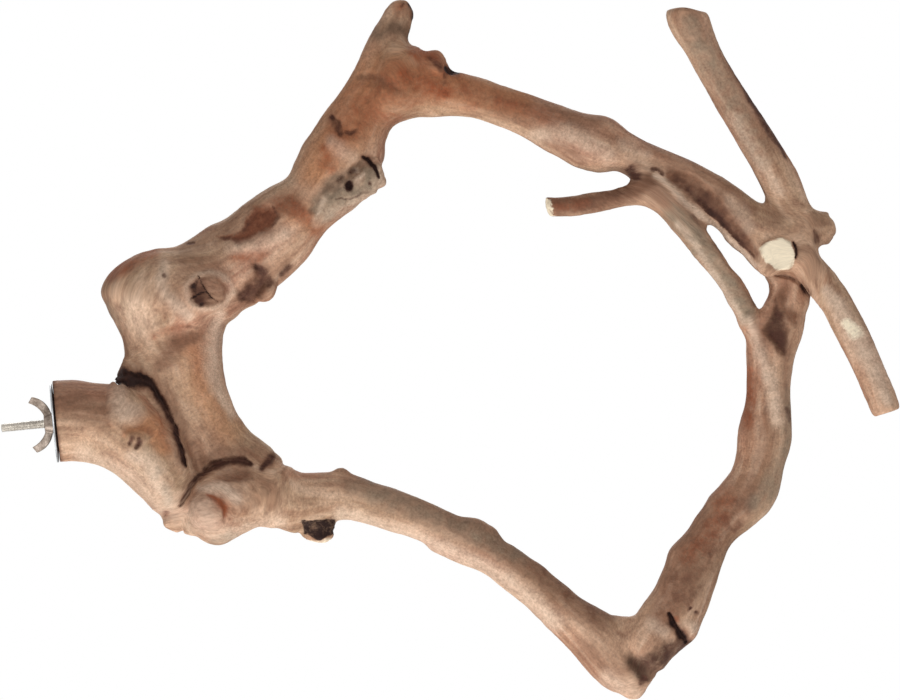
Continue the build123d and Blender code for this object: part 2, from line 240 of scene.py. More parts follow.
# Swellings and hollows of the outline: place in the front view, reach and height, in millimetres
SWELLS = (
    # stub, lobe and collar
    (45, 26, 14, 6.0), (28, 25, 12, -0.8), (40, -43, 28, -3.0), (60, -65, 13, 1.2), (67, -74, 9, 5.5),
    (75, -79, 11, 5.0), (81, -79, 9, 8.0), (129, -83, 9, -1.6), (94, -90, 11, -1.1),
    # neck and elbow
    (58, 100, 35, 2.2), (44, 92, 28, 2.0), (91, 111, 14, -2.0), (116, 27, 24, -0.8), (119, 53, 9, 2.4),
    (118, 49, 12, 0.9), (132, 62, 11, -1.5), (144, -40, 7, 3.0), (151, -44, 9, 2.5), (138, -34, 10, 1.5),
    (129, -17, 11, -1.3), (118, 3, 12, 1.1),
    # trunk, weathered stub and spike
    (113, 120, 15, 2.3), (169, 150, 12, -1.5), (182, 169, 12, 1.1), (194, 110, 26, -3.0),
    (219, 128, 12, 2.0), (234, 138, 12, 1.0), (233, 154, 13, 3.3), (247, 177, 13, -1.6),
    (254, 252, 16, 2.4), (260, 231, 9, -2.5), (262, 251, 12, 1.7), (230, 232, 28, 0.7),
    # upper limb, top nub and twig
    (284, 215, 12, -2.4), (287, 209, 9, -1.2), (269, 180, 14, 1.8), (296, 175, 18, -1.2),
    (306, 201, 14, 1.2), (351, 143, 13, -1.1), (385, 164, 18, 2.5), (388, 129, 13, -3.2),
    (413, 99, 15, -2.0), (448, 87, 13, -6.0), (458, 65, 16, -2.0), (449, 88, 7, 3.0), (480, 51, 12, 6.5),
    (439, 62, 26, 1.2), (462, 116, 25, 0.9), (456, 28, 11, -1.7),
    # node and side branches
    (477, 55, 18, 8.0), (479.5, 71, 6, 2.2), (496.5, 55.5, 6, 2.2), (482, 58, 6, -1.2),
    (517, 96, 10, 1.5), (531, 91, 8, -4.0), (530, 71, 7, -3.0), (523, 64, 18, -5.0), (528, 49, 13, -1.5),
    (507, 32, 11, 1.8), (516, 24, 15, -1.1), (503, 131, 32, -1.4), (473, 134, 28, 1.1),
    (448, 191, 20, 0.9), (443, 235, 14, 2.2),
    # right limb and corner
    (495, -1, 15, -1.2), (461, -7, 12, -0.9), (444, -74, 12, -1.2), (478, -85, 30, -1.5),
    (429, -90, 12, 1.4), (412, -110, 12, -1.2), (400, -124, 12, 1.8), (442, -123, 15, -0.9),
    (425, -157, 20, -1.3), (434, -140, 36, -1.6), (408, -181, 15, 3.0), (393, -197, 12, -2.0),
    (379, -157, 14, 1.6), (358, -163, 11, 1.4),
    # lower limb
    (340, -150, 15, -1.2), (314, -126, 13, 1.0), (328, -187, 45, -3.0), (275, -128, 18, -1.2),
    (289, -103, 10, -2.5), (275, -93, 16, 4.5), (282, -96, 8, 1.6), (301, -153, 18, -0.9),
    (236, -104, 9, -1.3), (229, -100, 17, -1.8), (207, -59, 15, -0.8), (149, -86, 11, 2.6),
    (154, -88, 7, 1.6), (159, -94, 7, -2.0), (179, -86, 9, 1.5),
)


def grown(along, across, seed):
    """Smooth noise stretched along the limbs, its patches this many millimetres long and wide."""
    place = np.column_stack((grain[:, 0] / along + seed, grain[:, 1] / across, grain[:, 2] / across))
    return np.array([noise.noise(p) for p in place.tolist()])


# Lumps all along the limbs: height as a share of the limb's radius, length, width and seed
LUMPS = ((0.05, 46, 24, 3.1), (0.04, 110, 11, 8.7))
push = sum(height * grown(long, wide, seed) for height, long, wide, seed in LUMPS) * radius * (1 - sawn)

# A swelling pushes what faces the same way as the outline does there. The stub's sawn face stays put.
OUTLINE_PULL = 30
SAME_WAY = (0.1, 0.8)
FACE_KEPT, FACE_FREE = 3, 14
outward = facing(skin, quads)
for x, z, reach, height in SWELLS:
    away = np.hypot(skin[:, 0] - x, skin[:, 2] - z)
    aim = outward[(away + OUTLINE_PULL * np.abs(outward[:, 1])).argmin()]
    push += height * (1 - ramp(away, 0, reach)) * ramp(outward @ aim, *SAME_WAY)
skin += outward * (push * ramp(skin[:, 0], FACE_KEPT, FACE_FREE))[:, None]

# Places where swellings run into each other: place in the front view, reach and rounds of easing
BLENDED = ((76, -80, 10, 14), (458, 80, 14, 10), (472, 64, 16, 10), (145, -41, 9, 10))
for x, z, reach, rounds in BLENDED:
    eased = relax(skin.copy(), edges, rounds)
    share = 1 - ramp(np.hypot(skin[:, 0] - x, skin[:, 2] - z), 0.5 * reach, reach)
    skin += (eased - skin) * share[:, None]

# The skin is split finer before the small marks are cut into it
branch.data.vertices.foreach_set("co", (skin * MM).ravel())
for name, kind, key, values in (
    ("grain", "FLOAT_VECTOR", "vector", grain * MM),
    ("sawn", "FLOAT", "value", sawn),
):
    branch.data.attributes.new(name, kind, "POINT").data.foreach_set(key, values.ravel())
finer = branch.modifiers.new("finer", "SUBSURF")
finer.levels = finer.render_levels = 1
settle(branch)
skin = numbers(branch.data.vertices, "co", 3) / MM
quads = numbers(branch.data.polygons, "vertices", 4, np.int32)
grain = numbers(branch.data.attributes["grain"].data, "vector", 3) / MM
sawn = numbers(branch.data.attributes["sawn"].data, "value", 1)[:, 0]
outward = facing(skin, quads)
SIDE_TURN = 0.35
front = ramp(-outward[:, 1], 0.0, SIDE_TURN)
rear = ramp(outward[:, 1], 0.0, SIDE_TURN)
around = np.ones(len(skin))

# Marks are drawn on places that wander a little, so their edges are ragged: how far, and sizes with shares
WANDER = 1.1
WANDERS = ((8, 1.0), (3, 0.5))
WANDER_SEED = 1
noise.seed_set(WANDER_SEED)
warp = sum(part * np.array([noise.noise_vector(p) for p in (skin / size).tolist()]) for size, part in WANDERS)
drawn = skin[:, [0, 2]] + WANDER * warp[:, [0, 2]]
MARK_REACH, OUTLINE_REACH, BEYOND = 2.5, 5, 9.0


def spread(path):
    """Distance from a smooth path of x, z and half width in the front view, in half widths."""
    path = dense(path) if len(path) > 2 else np.array(path, float)
    reach = MARK_REACH * path[:, 2:]
    low, high = (path[:, :2] - reach).min(axis=0), (path[:, :2] + reach).max(axis=0)
    near = np.flatnonzero(((drawn > low) & (drawn < high)).all(axis=1))
    spot = drawn[near]
    far = np.full(len(skin), BEYOND)
    least = np.full(len(near), BEYOND)
    for start, stop in zip(path, path[1:] if len(path) > 1 else path):
        step = stop[:2] - start[:2]
        part = np.clip(((spot - start[:2]) @ step) / max(step @ step, 1e-6), 0, 1)
        away = np.hypot(*(spot - start[:2] - part[:, None] * step).T)
        least = np.minimum(least, away / (start[2] + (stop[2] - start[2]) * part))
    far[near] = least
    return far


def inside(outline):
    """Depth inside a closed outline of x and z in the front view, in millimetres, negative outside it."""
    outline = np.array(outline, float)
    low, high = outline.min(axis=0) - OUTLINE_REACH, outline.max(axis=0) + OUTLINE_REACH
    near = np.flatnonzero(((drawn > low) & (drawn < high)).all(axis=1))
    spot = drawn[near]
    least = np.full(len(near), BEYOND)
    held = np.zeros(len(near), bool)
    for start, stop in zip(outline, np.roll(outline, -1, axis=0)):
        step = stop - start
        part = np.clip(((spot - start) @ step) / (step @ step), 0, 1)
        least = np.minimum(least, np.hypot(*(spot - start - part[:, None] * step).T))
        level = (start[1] > spot[:, 1]) != (stop[1] > spot[:, 1])
        cross = start[0] + (spot[:, 1] - start[1]) * step[0] / (step[1] or 1e-9)
        held ^= level & (spot[:, 0] < cross)
    depth = np.full(len(skin), -BEYOND)
    depth[near] = np.where(held, least, -least)
    return depth


# Bosses and dips that the wood grew with: height (a dip if negative), share of its width that is flat, and
# its path in the front view as x, z and half width
FORMS = (
    # the lobe grew over the stub, with a knot on it, and the neck falls back behind its edge
    (3.2, 0.88, [(49, 14, 12.5), (50, 3, 14), (57, -6, 13)]),
    (2.0, 0.0, [(50, 5, 15)]),
    (1.8, 0.3, [(53, -18, 11)]),
    (-0.5, 0.0, [(46, -8, 4), (55, -6, 4), (64, -11, 4)]),
    (2.0, 0.0, [(60, -28, 12), (68, -45, 12), (73, -60, 8)]),
    (-2.8, 0.0, [(77, 22, 11), (87, 0, 12), (92, -22, 10)]),
    # neck: a bump by the notch, long flutes, and the fold under the cracked knot
    (1.5, 0.0, [(49, 36, 7)]),
    (1.1, 0.0, [(104, 8, 6), (112, -18, 7)]),
    (-1.2, 0.0, [(95, 8, 6), (100, -16, 7)]),
    (-1.8, 0.0, [(74, 47, 5), (88, 50, 6), (98, 50, 4)]),
    (1.4, 0.0, [(70, 56, 7), (84, 60, 6), (97, 61, 6), (108, 56, 5)]),
    # collar of the lower limb with a round boss on it
    (3.0, 0.35, [(103, -66, 25)]),
    (1.0, 0.2, [(95, -67, 12)]),
    (-1.3, 0.0, [(98, -57, 3), (104.5, -61, 3.6), (107, -67, 3.6), (105.5, -73, 3)]),
    (0.5, 0.0, [(95, -53, 4), (106, -53.5, 5), (114, -59, 5)]),
    (-2.6, 0.0, [(111, -46, 7), (123, -45, 7)]),
    # elbow and trunk: a pale rib, the long scoop with its lips, and the hollow
    (0.9, 0.0, [(83, 98, 4), (80, 88, 4), (81, 80, 4), (87, 71, 4), (94, 65, 3)]),
    (1.0, 0.0, [(126, 104, 5), (145, 105, 6), (163, 110, 6)]),
    (0.8, 0.0, [(138, 130, 5), (154, 134, 6)]),
    (1.2, 0.0, [(153, 76, 5), (149, 69, 5), (141, 66, 4)]),
    (1.0, 0.0, [(175, 120, 9), (188, 140, 9)]),
    # crown and weathered stub
    (-1.4, 0.0, [(206, 180, 7), (214, 173, 7)]),
    (1.4, 0.0, [(203, 167, 6), (211, 160, 6)]),
    (2.4, 0.4, [(203, 131, 8), (222, 140, 11)]),
    (-2.0, 0.1, [(185, 126, 5), (190, 136, 5), (198, 143, 5.5), (208, 147, 5), (219, 151, 4)]),
    (-1.3, 0.0, [(224, 209, 5), (236, 207, 6), (249, 199, 5)]),
    (1.2, 0.0, [(238, 192, 9), (258, 192, 9)]),
    # upper limb: the ridge along its lower strand, and a dip
    (1.2, 0.2, [(405, 131, 2.5), (418, 122, 3), (431, 106, 3.2), (442, 96, 3), (453, 85, 3),
                (464, 72, 2.6)]),
    (-1.0, 0.0, [(343, 155, 5), (356, 149, 6), (366, 141, 4)]),
    # right limb: the valley behind the twig's foot, and the rib below it
    (2.2, 0.1, [(466, 26, 4), (471, 8, 5), (476, -14, 6), (480, -42, 6)]),
    (-1.2, 0.0, [(488, -6, 5), (488, -30, 5)]),
    (-1.0, 0.0, [(465, -12, 5), (464, -38, 5)]),
    (-1.2, 0.0, [(447, -108, 6), (440, -117, 5)]),
    # bottom corner
    (-1.6, 0.1, [(369, -196, 5), (375, -203, 6)]),
    (-1.2, 0.1, [(378, -193, 5), (391, -188.5, 5)]),
    (1.4, 0.1, [(409, -176, 6)]),
)

# Bark folded in and old splits, with painted shade in and round them: side, depth, how black, and the path
GROOVES = (
    (front, 5.0, 1.0, [(46.5, 25.5, 5.5), (51, 23.5, 5.6), (58, 22.8, 4.8), (65, 20.8, 3.6),
                       (70, 11, 2.0)]),
    (front, 5.0, 0.78, [(66, 19, 2.6), (70, 11, 2.8), (73, 4, 2.7), (77, -5, 2.7), (79.5, -13, 2.7),
                        (80.7, -21, 2.5),
                        (82, -29, 2.3), (83.5, -37, 1.0)]),
    (around, 1.5, 0.9, [(45, 25, 4), (49, 28, 4)]),
    (front, 3.0, 0.5, [(78, -63, 1.2), (83, -55, 2.0), (90, -46, 2.2)]),
    (front, 4.5, 0.68, [(88, -48, 1.4), (97, -41, 2.4), (105, -37.5, 3.0), (114, -35.5, 3.2),
                        (122, -37.5, 2.8), (128, -40.5, 1.4)]),
    (front, 3.0, 0.72, [(134, -43, 1.6), (138, -40, 2.4), (141.5, -36.5, 2.4)]),
    (front, 2.2, 0.62, [(53.6, -21, 1.5), (55, -18.8, 1.8), (54.4, -16.6, 1.0)]),
    (front, 1.2, 0.5, [(49.6, -17.8, 1.4), (51.2, -16, 1.3)]),
    (around, 1.4, 0.3, [(67.6, -67, 2.4)]),
    (front, 1.8, 0.5, [(158, 129, 1.0), (161.5, 123.5, 2.2), (157, 117, 1.4)]),
    (front, 1.2, 0.42, [(122, 112, 1.0), (132, 110, 1.8), (142, 111.5, 2.0), (150, 115, 1.2)]),
    (front, 0.8, 0.4, [(146, 128, 1.0), (142, 121, 1.4), (137, 115, 1.2)]),
    (front, 2.4, 0.62, [(143, 91, 2.2), (147.5, 86.5, 3.8), (150.4, 79, 3.0)]),
    (front, 0.8, 0.5, [(81.7, 90.4, 1.6)]),
    (around, 0.8, 0.5, [(100, 110.5, 1.6), (103, 111, 1.6)]),
    (around, 1.0, 0.5, [(160, 85, 2.5), (164, 89, 2.2)]),
    (front, 2.6, 0.55, [(203.5, 184.5, 2.2), (205.5, 180, 3.2), (207.5, 173.5, 2.2)]),
    (front, 1.8, 0.5, [(210.5, 175, 1.4), (214.5, 173.2, 1.9), (217.5, 174.6, 1.5)]),
    (front, 4.5, 1.0, [(209.4, 138.2, 2.4), (210.6, 139.4, 2.4)]),
    (front, 1.6, 0.6, [(212.6, 147, 1.6), (215, 148, 1.4)]),
    (front, 1.2, 0.6, [(203, 141.5, 1.0), (206, 144, 1.4)]),
    (front, 0.8, 0.4, [(200, 131, 0.8), (212, 131.5, 1.0), (222, 135, 0.8)]),
    (front, 1.0, 0.6, [(224.4, 139.2, 1.4)]),
    (front, 4.0, 1.0, [(221.5, 155.6, 1.0), (224.6, 154.8, 1.5), (227.8, 148.8, 1.1),
                       (230.4, 141.6, 0.6)]),
    (front, 1.6, 0.5, [(256.5, 254, 1.0), (258, 255.5, 1.2)]),
    (around, 0.8, 0.9, [(262.5, 255.5, 1.6), (264, 250, 1.6), (263, 245, 1.4)]),
    (front, 2.0, 0.5, [(272, 217.5, 1.6), (275, 214.6, 2.4), (277.5, 211.5, 1.8)]),
    (around, 2.0, 0.95, [(281.5, 211, 1.4), (283.5, 207.2, 2.0), (289.5, 206, 1.0)]),
    (front, 1.0, 0.35, [(280, 206, 1.4), (279.7, 200.5, 1.4)]),
    (around, 2.0, 0.7, [(398, 131, 3.4), (400.5, 126, 3.8)]),
    (front, 1.5, 0.6, [(412, 129.5, 1.6), (417.5, 127, 1.8)]),
    (front, 3.2, 0.9, [(500.5, 72.4, 0.7), (502.3, 67.5, 1.4), (501.4, 62.6, 0.7)]),
    (front, 1.0, 0.4, [(516, 79, 1.2), (516.8, 71.5, 1.6)]),
    # The crease where the lower side branch stands in front of the right limb, darkened as its painted shadow
    (front, 2.6, 0.32, [(488, 51.5, 1.6), (496, 49.6, 2.2), (502.5, 45, 2.4), (508, 37.5, 2.2)]),
    (front, 2.6, 0.78, [(503.5, 42.5, 1.4), (506.2, 39, 2.0)]),
    (around, 0.6, 0.72, [(465.6, 206, 1.6), (476, 184, 2.2), (485.5, 163, 2.8), (494, 145, 2.4),
                         (501, 130, 1.2)]),
    (around, 0.6, 0.45, [(486.1, -37.3, 1.8), (487.2, -44.6, 1.8)]),
    (front, 4.5, 1.0, [(394.8, -165.5, 1.4), (396.8, -171, 2.6), (399.6, -177.5, 2.8),
                       (403.8, -185.5, 2.0)]),
    (front, 0.8, 0.6, [(413, -167, 1.3)]),
    (front, 0.8, 0.6, [(409, -163, 1.2)]),
    (around, 0.6, 0.6, [(374, -207, 3), (371, -209.7, 2)]),
    # the same folds, seen from behind, and a few knots and checks there
    (rear, 4.0, 0.95, [(46, 25, 4), (58, 20, 3), (69, 6, 2.6), (76, -12, 2.4), (80, -30, 1.4)]),
    (rear, 4.0, 0.9, [(80, -58, 1.4), (92, -45, 2.6), (106, -39, 2.8), (120, -41, 2)]),
    (rear, 3.0, 0.8, [(96, 84, 3.4), (100, 80, 2.6)]),
    (rear, 2.0, 0.7, [(180, 132, 1.4), (192, 146, 2), (201, 160, 1.2)]),
    (rear, 2.5, 0.8, [(352, 160, 2.2), (357, 158, 2.6)]),
    (rear, 2.0, 0.7, [(448, -98, 1.4), (458, -84, 2), (463, -70, 1.2)]),
    (rear, 1.6, 0.6, [(262, -104, 1.2), (280, -116, 1.8), (297, -130, 1.2)]),
    (rear, 3.5, 0.9, [(392, -168, 1.4), (399, -177, 2.2), (404, -187, 1.6)]),
)

# Stains and changes of the wood, and painted shade and highlights: side, colour, strength and path
STAINS = (
    (around, "amber", 0.7, [(188, 150, 14), (212, 178, 22), (236, 202, 28), (262, 204, 24),
                            (296, 194, 16), (330, 182, 10)]),
    (front, "amber", 0.5, [(170, 128, 12), (184, 116, 10)]),
    (around, "amber", 0.45, [(98, 40, 14), (102, 12, 14), (114, -16, 12)]),
    (front, "amber", 0.6, [(52, -10, 8), (64, -8, 8), (70, -24, 7)]),
    # The brown on the stub's upper half is partly painted shade, the dark strip along the lobe's left step is
    # a painted shadow, and the pale on the lobe's bulb is a painted highlight
    (around, "brown", 0.55, [(6, 14, 16), (20, 10, 16), (31, 6, 12)]),
    (front, "brown", 0.6, [(33, 16, 4), (34, 4, 5), (36, -4, 4)]),
    (front, "pale", 0.55, [(43, 15, 6), (45, 4, 9), (52, -1, 8)]),
    (front, "pale", 0.6, [(50, -27, 6), (60, -33, 8), (64, -46, 7), (72, -62, 7)]),
    (front, "heart", 0.3, [(46, -12, 3.5), (55, -9.5, 4), (63, -13, 3.5)]),
    (front, "heart", 0.35, [(60, 8, 6), (68, -6, 6), (74, -22, 6)]),
    (front, "weather", 0.7, [(66, -37, 4), (63, -42, 3)]),
    (front, "weather", 0.8, [(69, -49, 3.5), (70, -58, 4.5)]),
    (around, "heart", 0.95, [(68, -67.5, 3.4)]),
    (front, "brown", 0.75, [(72, 30, 5), (80, 38, 8), (86, 46, 8), (100, 48, 5)]),
    # Painted shadow under the ridge below the cracked knot
    (front, "fold_and_shade", 0.34, [(64, 50, 1.4), (78, 53.5, 2.2), (90, 55.4, 2.2), (102, 54, 1.4)]),
    (front, "heart", 0.4, [(70, 51, 4), (82, 54.5, 4.5), (94, 56, 4)]),
    (front, "brown", 0.45, [(73, 18, 6), (81, 0, 6), (85, -16, 5), (87, -32, 4)]),
    # Painted shadow above the collar's groove, and painted shade in the dip inside the collar
    (front, "brown", 0.5, [(92, -37, 5), (106, -31, 5), (120, -31, 5), (132, -34, 5)]),
    (front, "brown", 0.85, [(110, -46, 7), (123, -45, 8)]),
    (front, "heart", 0.85, [(98, -59, 2.6), (103.5, -62.5, 4), (106, -67, 3.6), (105.5, -71, 2.6)]),
    (front, "pale", 0.7, [(94, -54, 4), (106, -54.5, 5), (115, -61, 6)]),
    (front, "pale", 0.5, [(84, -70, 7), (92, -66, 9), (98, -80, 9)]),
    (around, "weather", 0.7, [(98, -90, 6), (110, -86, 6)]),
    (around, "heart", 0.6, [(46, 96, 8), (58, 101, 9), (74, 106, 8)]),
    (front, "pale", 0.55, [(83, 98, 5), (80, 88, 5.5), (81, 80, 5.5), (88, 70, 6), (96, 64, 5)]),
    (front, "pale", 0.35, [(60, 72, 12), (64, 60, 12)]),
    (front, "pale", 0.6, [(116, 62, 5), (111, 48, 7), (108, 30, 7), (110, 12, 6), (118, -6, 4)]),
    (around, "weather", 0.4, [(42, 75, 5), (50, 58, 5)]),
    (front, "brown", 0.55, [(98, 98, 9), (112, 94, 8), (122, 88, 6)]),
    (around, "brown", 0.45, [(98, 106, 9), (115, 112, 9), (130, 118, 8)]),
    (front, "pale", 0.35, [(126, 104, 5), (145, 105, 6), (163, 110, 7)]),
    (front, "brown", 0.9, [(146, 119, 3), (156, 125, 6), (168, 130, 9), (176, 126, 6)]),
    (front, "heart", 0.48, [(150, 124, 6), (165, 130, 9), (178, 121, 8), (186, 110, 6)]),
    (front, "heart", 0.5, [(130, 98, 6), (146, 98, 7)]),
    (front, "heart", 0.6, [(196, 165, 4), (200, 158, 5), (199, 150, 4)]),
    (front, "pale", 0.35, [(201, 169, 5), (206, 163, 7), (213, 158, 6)]),
    (front, "heart", 0.5, [(232, 182, 9), (246, 180, 8)]),
    (around, "heart", 0.5, [(198, 156, 10), (214, 178, 18), (234, 194, 24), (264, 206, 22),
                            (296, 194, 12)]),
    (around, "brown", 0.25, [(222, 182, 14), (240, 198, 20), (258, 204, 16)]),
    (front, "heart", 0.72, [(252, 208, 9), (266, 200, 10), (280, 194, 8)]),
    (front, "grey_stain_and_shade", 0.6, [(224, 210, 2.6), (236, 207.5, 4.5), (249, 199.5, 4)]),
    (front, "grey_stain_and_shade", 0.75, [(236, 206.8, 2.6), (242, 203.6, 3.4), (247, 200, 2.4)]),
    (around, "grey_stain_and_shade", 0.5, [(240, 238, 8), (249, 240, 9), (258, 236, 8)]),
    (around, "brown", 0.6, [(251, 239, 6), (259, 237, 6)]),
    (around, "heart", 0.5, [(256, 253, 8)]),
    (around, "heart", 0.65, [(262, 222, 8), (274, 219, 8)]),
    (front, "fold_and_shade", 0.5, [(272, 218, 3), (276, 214, 3.6), (278, 209, 2.6)]),
    # A painted shadow band along the dip at the weathered stub's upper left
    (front, "grey_stain_and_shade", 0.55, [(184, 124, 4), (190, 134, 6), (197, 140, 6), (208, 146, 6), (221, 151, 5)]),
    (front, "fold_and_shade", 0.35, [(188, 130, 3), (194, 138, 4), (200, 138, 5), (206, 141, 5), (215, 148, 3)]),
    (around, "fold_and_shade", 0.18, [(192, 126, 9), (210, 135, 12), (226, 143, 10)]),
    (around, "weather", 0.85, [(192, 124, 11), (208, 133, 14), (226, 141, 13)]),
    (around, "pale", 0.3, [(186, 116, 4), (194, 121, 5), (212, 128, 6), (228, 135, 6), (234, 147, 5)]),
    (front, "pale", 0.45, [(193, 131, 2.4), (189, 124, 2.4), (186, 118, 1.6)]),
    (front, "pale", 0.75, [(215.6, 147.5, 2.2)]),
    (front, "pale", 0.6, [(216, 142, 2.6), (220, 145, 2.2)]),
    (around, "brown", 0.45, [(296, 194, 8), (320, 183, 9), (344, 176, 7), (378, 165, 6)]),
    (around, "heart", 0.38, [(296, 190, 14), (322, 181, 13), (350, 168, 9)]),
    (around, "brown", 0.45, [(410, 150, 5), (430, 134, 6), (466, 110, 6)]),
    (front, "pale", 0.3, [(394, 147, 7), (408, 140, 6)]),
    (front, "brown", 0.45, [(343, 155, 5), (356, 149, 6), (366, 141, 5)]),
    (front, "pale", 0.4, [(336, 160, 7), (360, 158, 8), (384, 143, 8)]),
    (around, "brown", 1.0, [(338, 112, 9), (372, 112, 9), (394, 116, 10), (408, 122, 9)]),
    (around, "fold_and_shade", 0.25, [(342, 113, 8), (372, 113, 8), (394, 118, 8)]),
    (around, "brown", 0.45, [(410, 116, 10), (424, 98, 10), (440, 76, 9)]),
    (front, "heart", 0.4, [(345, 111, 5), (366, 112, 5)]),
    # Painted shade in the valley between the upper limb's strands, darkest at its bottom
    (front, "brown", 1.0, [(424, 126, 6), (437, 115, 10), (447, 105, 13), (456, 94, 12), (464, 83, 9),
                           (473, 68, 6)]),
    (front, "fold_and_shade", 0.45, [(426, 124, 3), (437, 113, 7), (446, 104, 10), (455, 93, 10), (463, 82, 8),
                           (470, 71, 5)]),
    (front, "fold_and_shade", 0.8, [(434, 114, 2), (441, 106, 5), (448, 98, 6.5), (456, 88, 6), (463, 78, 4.5),
                          (473, 65, 2.5)]),
    (front, "bark", 0.4, [(440, 106, 2), (448, 97.5, 4), (456, 87.5, 4), (465, 75, 2)]),
    (front, "pale", 0.75, [(414, 125, 2.5), (422, 118, 3), (432, 105, 3.2), (443, 95, 3.2),
                           (454, 84, 3), (474, 60, 3)]),
    (front, "pale", 0.35, [(462, 104, 6), (468, 96, 7), (472, 86, 6)]),
    (around, "weather", 0.8, [(424, 99, 9), (436, 80, 10), (446, 64, 10), (456, 46, 10), (466, 28, 9)]),
    (around, "fold_and_shade", 0.4, [(437, 97, 4), (450, 77, 4), (461, 57, 4), (471, 34, 4)]),
    (front, "pale", 0.5, [(426, 92, 3), (438, 73, 3.5), (451, 47, 3.5), (463, 24, 3.5)]),
    (front, "brown", 0.6, [(470, 101, 4), (476, 96, 4)]),
    (front, "brown", 0.5, [(492, 90, 8)]),
    (front, "brown", 0.5, [(520, 84, 8)]),
    (around, "brown", 0.55, [(466, 206, 4), (478, 182, 5), (488, 160, 5), (497, 140, 5)]),
    (around, "brown", 0.55, [(445, 228, 12), (452, 212, 9)]),
    (around, "weather", 0.5, [(446, 222, 11), (458, 192, 11), (472, 162, 10), (486, 130, 8)]),
    (around, "pale", 0.35, [(470, 158, 6), (482, 132, 6), (494, 108, 6)]),
    (front, "cut", 0.8, [(530, 16, 5), (536, 8, 6)]),
    (front, "pale", 0.65, [(520, 38, 5), (530, 20, 8), (541, -4, 9), (549, -24, 7), (553, -38, 5)]),
    (around, "brown", 0.4, [(545, 14, 3.5), (552, -2, 3.5), (558, -20, 3.5)]),
    (front, "brown", 0.75, [(494, 44, 6), (488, 30, 6), (497, 22, 7)]),
    (around, "heart", 0.55, [(464, -10, 5), (462, -28, 6), (459, -46, 5)]),
    (around, "brown", 0.5, [(462, -16, 5), (461, -30, 5), (457, -46, 5)]),
    (front, "pale", 0.6, [(467, 24, 4), (472, 4, 5), (477, -18, 6), (479, -45, 6)]),
    (front, "brown", 0.5, [(489, -2, 5), (488, -22, 5), (487, -40, 5)]),
    (around, "weather", 0.55, [(488, -28, 5), (484, -60, 6), (474, -84, 10), (460, -98, 9)]),
    (front, "brown", 0.8, [(447, -109, 6), (440, -117, 5.5)]),
    (around, "heart", 0.35, [(440, -92, 10), (430, -112, 10), (412, -128, 10)]),
    # Painted shade laid over the broad hollow along the right limb
    (around, "brown", 0.85, [(458, -90, 14), (438, -106, 20), (418, -128, 22), (402, -150, 19),
                             (390, -168, 11)]),
    (around, "fold_and_shade", 0.24, [(452, -98, 14), (438, -112, 16), (420, -132, 18), (406, -150, 17)]),
    (front, "brown", 0.35, [(472, -50, 8), (466, -72, 9)]),
    (front, "heart", 0.7, [(399.5, -170, 3.4)]),
    (front, "pale", 0.6, [(409, -176, 5)]),
    (front, "pale", 0.45, [(383, -172, 6), (391, -178, 5)]),
    # The dark smudge round the bottom corner's hollow: bark left in it, with painted shade over it
    (around, "grey_stain_and_shade", 0.85, [(367, -195, 7), (374, -200, 9), (384, -196, 10), (394, -190, 9),
                            (402, -186, 6)]),
    (around, "grey_stain_and_shade", 1.0, [(367, -195, 6), (374, -204, 7)]),
    (around, "fold_and_shade", 0.62, [(368, -196, 8), (376, -199, 10), (386, -195, 11), (396, -189, 10),
                            (404, -185, 6)]),
    (around, "fold_and_shade", 0.5, [(368, -196, 5), (374, -204, 5)]),
    (around, "pale", 0.45, [(350, -205, 8), (366, -216, 7)]),
    (around, "cut", 0.6, [(162, -95, 2.5), (168, -97, 3), (174, -95.5, 2.5)]),
    # The undersides of the stub, collar and lower limb are painted pale as painted light; the lower limb's
    # top is painted brown and dark, partly painted shade and partly its weathered colour
    (around, "pale", 0.45, [(16, -24, 9), (46, -42, 10), (68, -64, 10), (110, -84, 10), (140, -80, 9)]),
    (around, "pale", 0.6, [(184, -80, 8), (236, -102, 8), (286, -131, 8), (318, -164, 9)]),
    (around, "brown", 0.4, [(338, -186, 12), (356, -202, 10)]),
    (around, "brown", 0.62, [(192, -58, 9), (208, -62, 10), (226, -74, 10), (256, -90, 10)]),
    (around, "brown", 0.85, [(256, -90, 10), (288, -108, 11), (319, -134, 12), (350, -160, 13)]),
    (around, "fold_and_shade", 0.2, [(290, -106, 9), (320, -131, 10), (348, -156, 11)]),
    (around, "heart", 0.35, [(150, -49, 5), (170, -50, 5)]),
    (around, "weather", 0.45, [(196, -62, 9), (226, -76, 9), (262, -94, 9), (300, -118, 9)]),
    (rear, "weather", 0.6, [(70, 60, 12), (90, 40, 10)]),
    (rear, "heart", 0.5, [(150, 105, 10), (168, 122, 10)]),
    (rear, "brown", 0.6, [(240, 200, 14)]),
    (rear, "pale", 0.5, [(320, 178, 9), (360, 156, 10)]),
    (rear, "weather", 0.6, [(468, -50, 9), (478, -10, 9)]),
    (rear, "pale", 0.5, [(220, -80, 8), (260, -102, 8)]),
)

raised = np.zeros(len(skin))
sunk = np.zeros(len(skin))
TINTS = ("amber", "brown", "grey_stain_and_shade", "weather", "heart", "pale", "cut", "fold_and_shade", "bark")
tints = {name: np.zeros(len(skin)) for name in TINTS}


def tint(name, amount):
    """Lay a colour on the skin where it is stronger than what lies there."""
    tints[name] = np.maximum(tints[name], amount)


